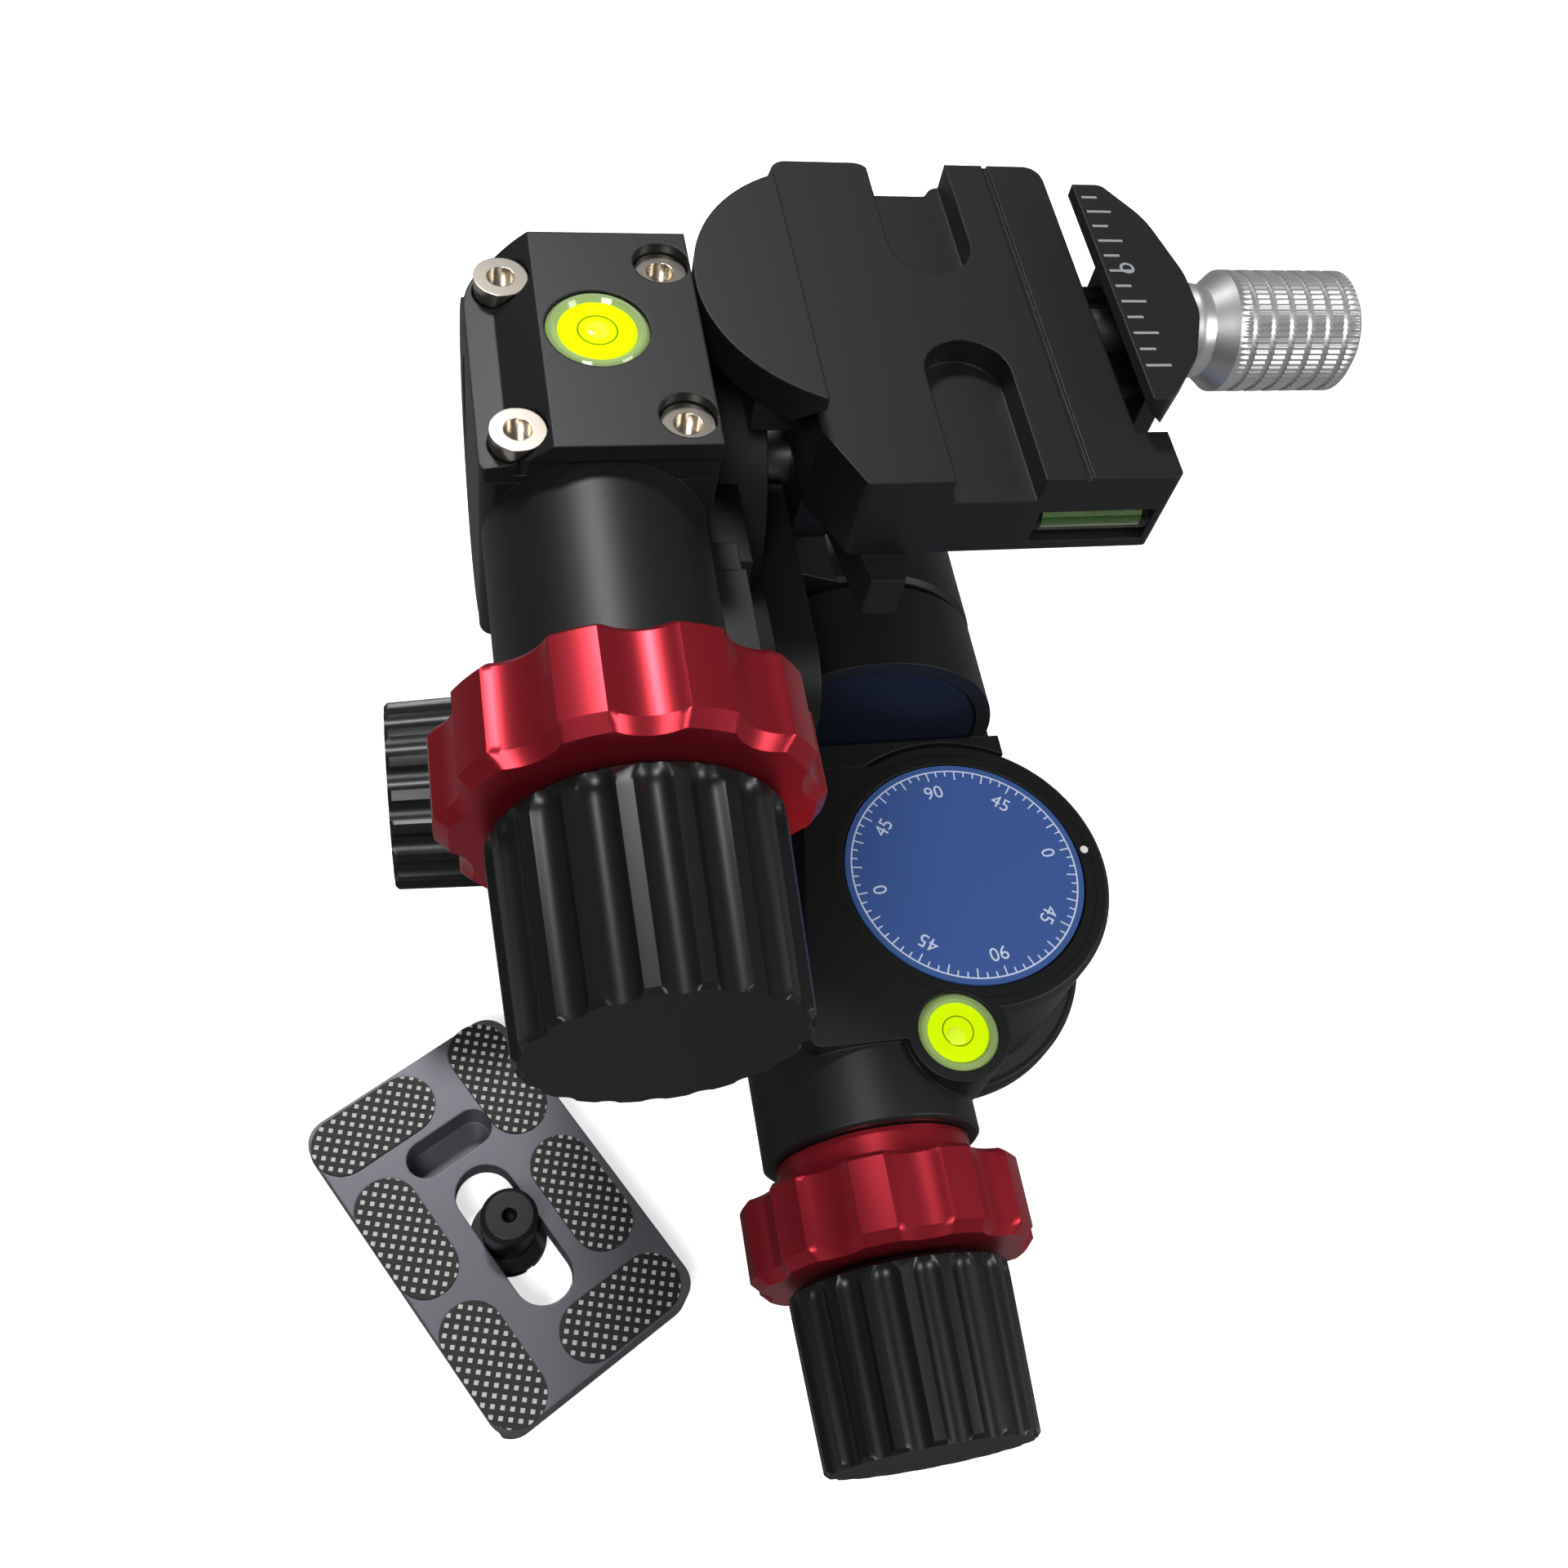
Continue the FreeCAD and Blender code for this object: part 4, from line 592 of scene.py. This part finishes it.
class Paintbox:
    """Makes each finish's material once."""

    def __init__(self) -> None:
        """Starts with no material."""
        self.made: dict[Finish, bpy.types.Material] = {}

    def material(self, finish: Finish) -> bpy.types.Material:
        """Gives a finish's material.

        Args:
            finish: The surface.

        Returns:
            Its material, made at the first call.
        """
        if finish not in self.made:
            self.made[finish] = self._make(finish)
            LOG.info("material %s", finish.name)
        return self.made[finish]

    @staticmethod
    def _make(finish: Finish) -> bpy.types.Material:
        """Builds the node tree of one finish.

        Args:
            finish: The surface.

        Returns:
            The new material.
        """
        material = bpy.data.materials.new(finish.name)
        material.use_nodes = True
        graph = Graph(material.node_tree)
        colour: Value = linear(finish.colour)
        if finish.mark is not Mark.NONE:
            inputs = {0: MASKS[finish.mark](graph, finish), 6: colour, 7: linear(finish.mark_colour)}
            colour = graph.add("ShaderNodeMix", inputs, data_type="RGBA").outputs[2]
        shader = graph.add("ShaderNodeBsdfPrincipled", {
            "Base Color": colour,
            "Metallic": finish.metallic,
            "Roughness": finish.roughness,
            "Specular IOR Level": finish.specular,
            "Transmission Weight": finish.clear,
            "Emission Color": colour,
            "Emission Strength": finish.glow,
        })
        normal = None
        if finish.edge:
            bevel = graph.add("ShaderNodeBevel", {"Radius": finish.edge * MM}, samples=EDGE_SAMPLES)
            normal = bevel.outputs[0]
        if finish.grain:
            place = graph.add("ShaderNodeTexCoord").outputs["Object"]
            noise = graph.add("ShaderNodeTexNoise", {
                "Vector": place,
                "Scale": 1 / (finish.grain_size * MM),
                "Detail": 2.0,
            })
            bump = {"Height": noise.outputs[0], "Strength": finish.grain, "Distance": GRAIN_DEPTH * MM}
            if normal:
                bump["Normal"] = normal
            normal = graph.add("ShaderNodeBump", bump).outputs[0]
        if normal:
            graph.tree.links.new(normal, shader.inputs["Normal"])
        graph.add("ShaderNodeOutputMaterial", {"Surface": shader.outputs[0]})
        return material


def dense(profile: Profile, step: float) -> np.ndarray:
    """Adds points along a profile's lines and keeps its corners.

    Args:
        profile: Pairs of radius and height, in millimetres.
        step: Longest distance between points.

    Returns:
        Array of radius and height.
    """
    corners = np.array(profile, float)
    rows = []
    for start, stop in zip(corners[:-1], corners[1:]):
        count = max(1, math.ceil(float(np.linalg.norm(stop - start)) / step))
        shares = np.arange(count)[:, None] / count
        rows.append(start + (stop - start) * shares)
    rows.append(corners[-1:])
    return np.concatenate(rows)


def turned_mesh(
    name: str, profile: np.ndarray, columns: int, origin: Point, axis: Point, carve: Optional[Carve] = None,
    close: bool = False, cap_end: bool = False,
) -> bpy.types.Mesh:
    """Makes a mesh by turning a profile and carving its radius.

    Each profile point gives a ring of vertices: x = radius * cos(angle), y = radius * sin(angle), both
    square to the axis, and height along it. carve changes the radius from radius, height and angle.

    Args:
        name: Mesh name.
        profile: Radius and height of each ring, in millimetres.
        columns: Vertices in a ring.
        origin: Point of the axis at height zero, in millimetres.
        axis: Unit vector of the axis.
        carve: Function that gives the carved radius.
        close: Whether the last ring joins the first.
        cap_end: Whether a flat face closes the last ring.

    Returns:
        The mesh, in metres.
    """
    angle = np.arange(columns) * (2 * math.pi / columns)
    angles, heights = np.meshgrid(angle, profile[:, 1])
    radii = np.repeat(profile[:, :1], columns, axis=1)
    if carve:
        radii = carve(radii, heights, angles)
    up = np.array(axis, float)
    side = np.array((0.0, 0.0, 1.0)) if abs(up[2]) < 0.5 else np.array((1.0, 0.0, 0.0))
    across = np.cross(up, side)
    points = (
        np.array(origin, float)
        + (radii * np.cos(angles))[..., None] * side
        + (radii * np.sin(angles))[..., None] * across
        + heights[..., None] * up
    )
    rows = len(profile)
    ring = np.arange(columns)
    following = (ring + 1) % columns
    last = rows if close else rows - 1
    lower = np.arange(last)[:, None] * columns
    upper = ((np.arange(last) + 1) % rows)[:, None] * columns
    quads = np.stack([lower + ring, lower + following, upper + following, upper + ring], axis=-1)
    faces = quads.reshape(-1, 4).tolist()
    if cap_end:
        faces.append(((rows - 1) * columns + ring).tolist())
    mesh = bpy.data.meshes.new(name)
    mesh.from_pydata((points.reshape(-1, 3) * MM).tolist(), [], faces)
    mesh.shade_smooth()
    mesh.set_sharp_from_angle(angle=math.radians(SHARP_DEGREES))
    return mesh


def knob_profile(drive: DriveSize, size: KnobSize) -> Profile:
    """Gives the outline of a fluted knob.

    Args:
        drive: Shaft that carries it.
        size: Knob sizes.

    Returns:
        Pairs of radius and height.
    """
    back = drive.knob_back
    end = back + size.length
    return (
        (size.hole, back),
        (size.radius - size.edge, back),
        (size.radius, back + size.edge),
        (size.radius, back + size.band),
        (size.end_radius, end - size.edge),
        (size.end_radius - size.edge, end),
    )


def fluted(drive: DriveSize, size: KnobSize) -> Carve:
    """Cuts round-ended flutes into a knob.

    A flute is a leaning cylinder with a ball at its start. Seen from the knob's axis its wall stands at
    c * cos(a) - sqrt(f^2 - (c * sin(a))^2), with c the flute's distance, f its radius and a the angle
    from it.

    Args:
        drive: Shaft that carries the knob.
        size: Knob sizes.

    Returns:
        Function for turned_mesh.
    """
    start = drive.knob_back + size.band
    end = drive.knob_back + size.length
    slope = (size.radius - size.end_radius) / (end - size.edge - start)
    pitch = 2 * math.pi / size.flutes
    reach = size.radius + size.flute_radius - size.flute_depth

    def carve(radii: np.ndarray, heights: np.ndarray, angles: np.ndarray) -> np.ndarray:
        off = (angles + pitch / 2) % pitch - pitch / 2
        centre = reach - np.maximum(heights - start, 0) * slope
        before = np.maximum(start - heights, 0)
        inside = size.flute_radius ** 2 - before ** 2 - (centre * np.sin(off)) ** 2
        wall = centre * np.cos(off) - np.sqrt(np.maximum(inside, 0))
        return np.where(inside > 0, np.minimum(radii, wall), radii)

    return carve


def ring_profile(drive: DriveSize, size: RingSize) -> Profile:
    """Gives the closed outline of a clutch ring, with its neck where there is room for one.

    Args:
        drive: Shaft that carries it.
        size: Ring sizes.

    Returns:
        Pairs of radius and height.
    """
    front = drive.knob_back - size.to_knob
    back = front - size.length
    neck = drive.tunnel_end + size.tunnel_gap
    inner = [(size.nose, neck), (size.neck_radius, neck), (size.neck_radius, back)]
    if back - neck < size.shortest_neck:
        inner = [(size.nose, back)]
    return inner + [
        (size.radius - size.edge / 2, back),
        (size.radius, back + size.edge / 2),
        (size.radius, front - size.edge),
        (size.radius - size.edge, front),
        (size.spring_radius, front),
        (size.spring_radius, front - size.spring_depth),
        (size.shaft, front - size.spring_depth),
        (size.shaft, front - size.web),
        (size.nose, front - size.web),
    ]


def scalloped(drive: DriveSize, size: RingSize) -> Carve:
    """Cuts scallops across a ring's rim, with a bevel that follows them at the front and back.

    A scallop is a cylinder beside the ring, so its wall stands at c * cos(a) - sqrt(s^2 - (c * sin(a))^2),
    less the bevel's depth near the ring's faces.

    Args:
        drive: Shaft that carries the ring.
        size: Ring sizes.

    Returns:
        Function for turned_mesh.
    """
    front = drive.knob_back - size.to_knob
    back = front - size.length
    pitch = 2 * math.pi / size.scallops
    centre = size.radius + size.scallop_radius - size.scallop_depth

    def carve(radii: np.ndarray, heights: np.ndarray, angles: np.ndarray) -> np.ndarray:
        off = (angles + pitch / 2) % pitch - pitch / 2
        inside = size.scallop_radius ** 2 - (centre * np.sin(off)) ** 2
        wall = centre * np.cos(off) - np.sqrt(np.maximum(inside, 0))
        past = np.maximum(heights - (front - size.edge), 0) + np.maximum(back + size.edge / 2 - heights, 0)
        bevel = past * size.bevel_slope
        outer = radii > size.neck_radius + size.rim_wall
        return np.where(outer & (inside > 0), np.minimum(radii, wall - bevel), radii)

    return carve


def clamp_knob_profile(size: ClampKnobSize) -> Profile:
    """Gives the outline of the clamp knob: a collar, a waist and a grip with turned grooves.

    Args:
        size: Knob sizes.

    Returns:
        Pairs of radius and height.
    """
    points = [(size.hole, size.back)]
    points += [(radius, size.back + height) for radius, height in size.collar]
    points += [
        (size.waist_r, size.grip - size.waist_length),
        (size.radius - size.grip_bevel[0], size.grip),
        (size.radius, size.grip + size.grip_bevel[1]),
    ]
    floor = size.radius - size.groove_depth
    for i in range(size.grooves):
        middle = size.grip + size.groove_start + size.groove_pitch * i
        points += [
            (size.radius, middle - size.groove_top),
            (floor, middle - size.groove_floor),
            (floor, middle + size.groove_floor),
            (size.radius, middle + size.groove_top),
        ]
    points += [(size.radius, size.end - size.end_bevel[1]), (size.radius - size.end_bevel[0], size.end)]
    return points


def knurled(size: ClampKnobSize) -> Carve:
    """Presses straight ridges into the clamp knob's grip: depth * (1 - cos(ridges * angle)) / 2.

    Args:
        size: Knob sizes.

    Returns:
        Function for turned_mesh.
    """

    def carve(radii: np.ndarray, heights: np.ndarray, angles: np.ndarray) -> np.ndarray:
        low, high = size.grip + size.ridge_margin, size.end - size.ridge_margin
        full = radii > size.radius - size.groove_depth / 4
        share = (heights > low) & (heights < high) & full
        return radii - share * size.ridge_depth * (1 - np.cos(size.ridges * angles)) / 2

    return carve


class Head:
    """The tripod head's visible pieces."""

    def __init__(self, frame: dict, paints: Paintbox) -> None:
        """Keeps the frame and the finishes.

        Args:
            paints: Maker of materials.
        """
        self.frame = frame
        self.paints = paints

    def add(self, name: str, mesh: bpy.types.Mesh, finish: Finish, body: str, slot: Optional[str] = None,
            replaced: Optional[str] = None) -> bpy.types.Object:
        """Puts a new piece on its body.

        Args:
            name: Piece name.
            mesh: Its mesh.
            finish: Its finish.
            body: CAD body that it moves with.
            slot: Material slot of the record; not used.
            replaced: CAD node that it stands for.

        Returns:
            The new object.
        """
        piece = bpy.data.objects.new(name, mesh)
        bpy.context.scene.collection.objects.link(piece)
        mesh.materials.clear()
        mesh.materials.append(self.paints.material(finish))
        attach(piece, body)
        if replaced:
            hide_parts(replaced)
        LOG.info("piece %s: %d vertices", name, len(mesh.vertices))
        return piece

    def paint_nodes(self) -> None:
        """Gives every CAD node the finish of its material slot, with a few finishes of their own."""
        for part in self.frame["record"]["subparts"]:
            name = part["node"]
            finish = NODE_FINISHES.get(name, SLOT_FINISHES[part["material_slot"]])
            if name in PATTERN_CENTRES:
                finish = replace(finish, centre=PATTERN_CENTRES[name])
            mesh = self.frame["nodes"][name].data
            mesh.materials.clear()
            mesh.materials.append(self.paints.material(finish))
            LOG.info("node %s: %s", name, finish.name)

    def knobs(self) -> None:
        """Makes the three knobs and clutch rings."""
        for drive in DRIVES:
            unit = drive.unit
            knob = turned_mesh(
                unit + "_knob_look", dense(knob_profile(drive, KNOB), KNOB.step),
                KNOB.flutes * KNOB.columns_per_flute, drive.origin, drive.axis, fluted(drive, KNOB),
                cap_end=True)
            self.add(unit + "_knob_look", knob, BLACK_KNOB, unit + "_drive", "black_knob", unit + "_knob")
            knob.materials.append(self.paints.material(KNOB_END))
            knob.polygons[-1].material_index = 1
            ring = turned_mesh(
                unit + "_ring_look", dense(ring_profile(drive, RING), RING.step),
                RING.scallops * RING.columns_per_scallop, drive.origin, drive.axis, scalloped(drive, RING),
                close=True)
            self.add(unit + "_ring_look", ring, RED, unit + "_clutch", "red_anodised", unit + "_clutch_ring")

    def clamp_knob(self) -> None:
        """Makes the knurled clamp knob."""
        size = CLAMP_KNOB
        mesh = turned_mesh(
            "clamp_knob_look", dense(clamp_knob_profile(size), size.step),
            size.ridges * size.columns_per_ridge, size.origin, (1.0, 0.0, 0.0), knurled(size), cap_end=True)
        self.add("clamp_knob_look", mesh, SILVER, "clamp_knob", "silver_knob", "clamp_knob")

    def numbers(self) -> None:
        """Prints the dial's plain numbers, their tops outwards."""
        for i, text in enumerate(DIAL.numbers):
            curve = bpy.data.curves.new("dial_number_text", "FONT")
            curve.body = text
            curve.size = DIAL.number_height * DIAL.letter_scale * MM
            curve.align_x = "CENTER"
            curve.align_y = "CENTER"
            curve.resolution_u = 4
            holder = bpy.data.objects.new("dial_number_holder", curve)
            mesh = bpy.data.meshes.new_from_object(holder)
            bpy.data.objects.remove(holder)
            bpy.data.curves.remove(curve)
            angle = math.radians(DIAL.zero_angle + 360.0 / len(DIAL.numbers) * i)
            spot = Vector((math.cos(angle), math.sin(angle), 0.0)) * DIAL.number_r
            spot.z = DIAL.top + DIAL.number_rise
            mesh.transform(Matrix.Translation(spot * MM) @ Matrix.Rotation(angle - math.pi / 2, 4, "Z"))
            self.add(f"dial_number_{i}", mesh, PRINT, "base", "blue_dial")

    def levels(self) -> None:
        """Makes the levels' thick clear rims and their bubbles.

        A bubble is a low dome: its height is rise * sqrt(1 - (r / radius)^2).
        """
        for size in LEVELS:
            rim = (
                (size.window_r, -size.depth),
                (size.rim_r, -size.depth),
                (size.rim_r, -size.edge),
                (size.rim_r - size.edge, 0.0),
                (size.window_r + size.edge, 0.0),
                (size.window_r, -size.edge),
            )
            mesh = turned_mesh(
                size.unit + "_level_rim", dense(rim, size.step), size.rim_columns, size.top, (0.0, 0.0, 1.0),
                close=True)
            self.add(
                size.unit + "_level_rim", mesh, VIAL_RIM, size.body, "clear_vial", size.unit + "_level_cup")
            share = np.cos(np.linspace(0.0, size.dome_angle, size.dome_rings))
            dome = np.stack([size.bubble_r * share, size.rise * np.sqrt(1 - share ** 2) - size.sunk], axis=1)
            spot = (size.top[0] + size.drift[0], size.top[1] + size.drift[1], size.top[2])
            bubble = turned_mesh(
                size.unit + "_bubble", dome, size.bubble_columns, spot, (0.0, 0.0, 1.0), cap_end=True)
            self.add(size.unit + "_bubble", bubble, BUBBLE, size.body, "level_fluid")


@dataclass(frozen=True)
class Lamp:
    """Soft area lamp aimed at the head; lengths in metres, power in watts."""

    name: str
    place: Point
    size: float
    power: float


LAMPS = (
    Lamp("key", (-0.17, 0.53, 0.83), 0.16, 5.0),
    Lamp("fill", (-0.30, -0.40, 0.75), 0.30, 4.0),
    Lamp("right", (0.60, -0.30, 0.50), 0.35, 3.0),
)


class Studio:
    """Camera, lamps, floor and background."""

    floor_z = -26.0
    floor_half = 3.0
    plinth_r = 25.0
    plinth_top = -0.05
    plinth_columns = 96
    floor_glow = 0.75
    floor_colour = (0.92, 0.92, 0.92, 1.0)
    floor_bounce = (0.22, 0.22, 0.22, 1.0)
    eye: Point = (-84.8, -106.2, 251.0)
    right: Point = (0.9727, -0.1681, 0.1595)
    up: Point = (0.0650, 0.8586, 0.5084)
    forward: Point = (0.2224, 0.4842, -0.8462)
    aim: Point = (-0.03, 0.0, 0.05)
    lens = 35.625
    world_light = 0.12
    sensor = 36.0

    def __init__(self, paints: Paintbox) -> None:
        """Keeps the finishes.

        Args:
            paints: Maker of materials.
        """
        self.paints = paints

    def camera(self) -> None:
        """Places the camera as the photo was taken."""
        data = bpy.data.cameras.new("camera")
        data.lens = self.lens
        data.sensor_width = self.sensor
        data.clip_start = 0.01
        data.clip_end = 20.0
        camera = bpy.data.objects.new("camera", data)
        bpy.context.scene.collection.objects.link(camera)
        turn = Matrix((self.right, self.up, [-x for x in self.forward])).transposed()
        camera.matrix_world = Matrix.Translation(Vector(self.eye) * MM) @ turn.to_4x4()
        bpy.context.scene.camera = camera

    def lamps(self) -> None:
        """Adds the soft lamps."""
        for lamp in LAMPS:
            data = bpy.data.lights.new(lamp.name, "AREA")
            data.shape = "DISK"
            data.size = lamp.size
            data.energy = lamp.power
            light = bpy.data.objects.new(lamp.name, data)
            bpy.context.scene.collection.objects.link(light)
            way = Vector(self.aim) - Vector(lamp.place)
            turn = way.to_track_quat("-Z", "Y").to_matrix().to_4x4()
            light.matrix_world = Matrix.Translation(lamp.place) @ turn
            LOG.info("lamp %s", lamp.name)

    def background(self) -> None:
        """Makes the world white to the camera and dim as a light."""
        world = bpy.data.worlds.new("studio")
        world.use_nodes = True
        graph = Graph(world.node_tree)
        path = graph.add("ShaderNodeLightPath")
        seen = graph.math("MAXIMUM", path.outputs["Is Camera Ray"], path.outputs["Is Transmission Ray"])
        strength = graph.math("ADD", graph.math("MULTIPLY", seen, 1.0 - self.world_light), self.world_light)
        background = graph.add("ShaderNodeBackground", {"Color": (1.0, 1.0, 1.0, 1.0), "Strength": strength})
        graph.add("ShaderNodeOutputWorld", {"Surface": background.outputs[0]})
        bpy.context.scene.world = world

    def floor(self) -> None:
        """Lays a white floor, and a plinth under the base so that the head stands above the plate."""
        material = bpy.data.materials.new("floor_white")
        material.use_nodes = True
        graph = Graph(material.node_tree)
        seen = graph.add("ShaderNodeLightPath").outputs["Is Camera Ray"]
        inputs = {0: seen, 6: self.floor_bounce, 7: self.floor_colour}
        colour = graph.add("ShaderNodeMix", inputs, data_type="RGBA")
        shader = graph.add("ShaderNodeBsdfPrincipled", {
            "Base Color": colour.outputs[2],
            "Roughness": 0.9,
            "Specular IOR Level": 0.0,
            "Emission Color": self.floor_colour,
            "Emission Strength": graph.math("MULTIPLY", seen, self.floor_glow),
        })
        graph.add("ShaderNodeOutputMaterial", {"Surface": shader.outputs[0]})
        mesh = bpy.data.meshes.new("floor")
        half = self.floor_half
        z = self.floor_z * MM
        square = [(-half, -half, z), (half, -half, z), (half, half, z), (-half, half, z)]
        mesh.from_pydata(square, [], [(0, 1, 2, 3)])
        outline = np.array(((self.plinth_r, self.floor_z), (self.plinth_r, self.plinth_top)))
        plinth = turned_mesh(
            "plinth", outline, self.plinth_columns, (0.0, 0.0, 0.0), (0.0, 0.0, 1.0), cap_end=True)
        for name, shape in (("floor", mesh), ("plinth", plinth)):
            shape.materials.append(material)
            thing = bpy.data.objects.new(name, shape)
            bpy.context.scene.collection.objects.link(thing)
            thing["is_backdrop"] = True
            LOG.info("stage %s", name)

    def build(self) -> None:
        """Sets up the whole studio."""
        self.camera()
        self.lamps()
        self.background()
        self.floor()
        bpy.context.scene.view_settings.view_transform = "Standard"


def corners() -> list[list[float]]:
    """Measures the shown object.

    Returns:
        Lowest and highest corner, in metres.
    """
    low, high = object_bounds()
    return [list(low), list(high)]


def main() -> None:
    """Builds the scene."""
    logging.basicConfig(level=logging.INFO, format="%(message)s")
    for thing in list(bpy.data.objects):
        bpy.data.objects.remove(thing)
    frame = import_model()
    paints = Paintbox()
    head = Head(frame, paints)
    head.paint_nodes()
    head.knobs()
    head.clamp_knob()
    head.numbers()
    head.levels()
    Studio(paints).build()


if __name__ == "__main__":
    main()
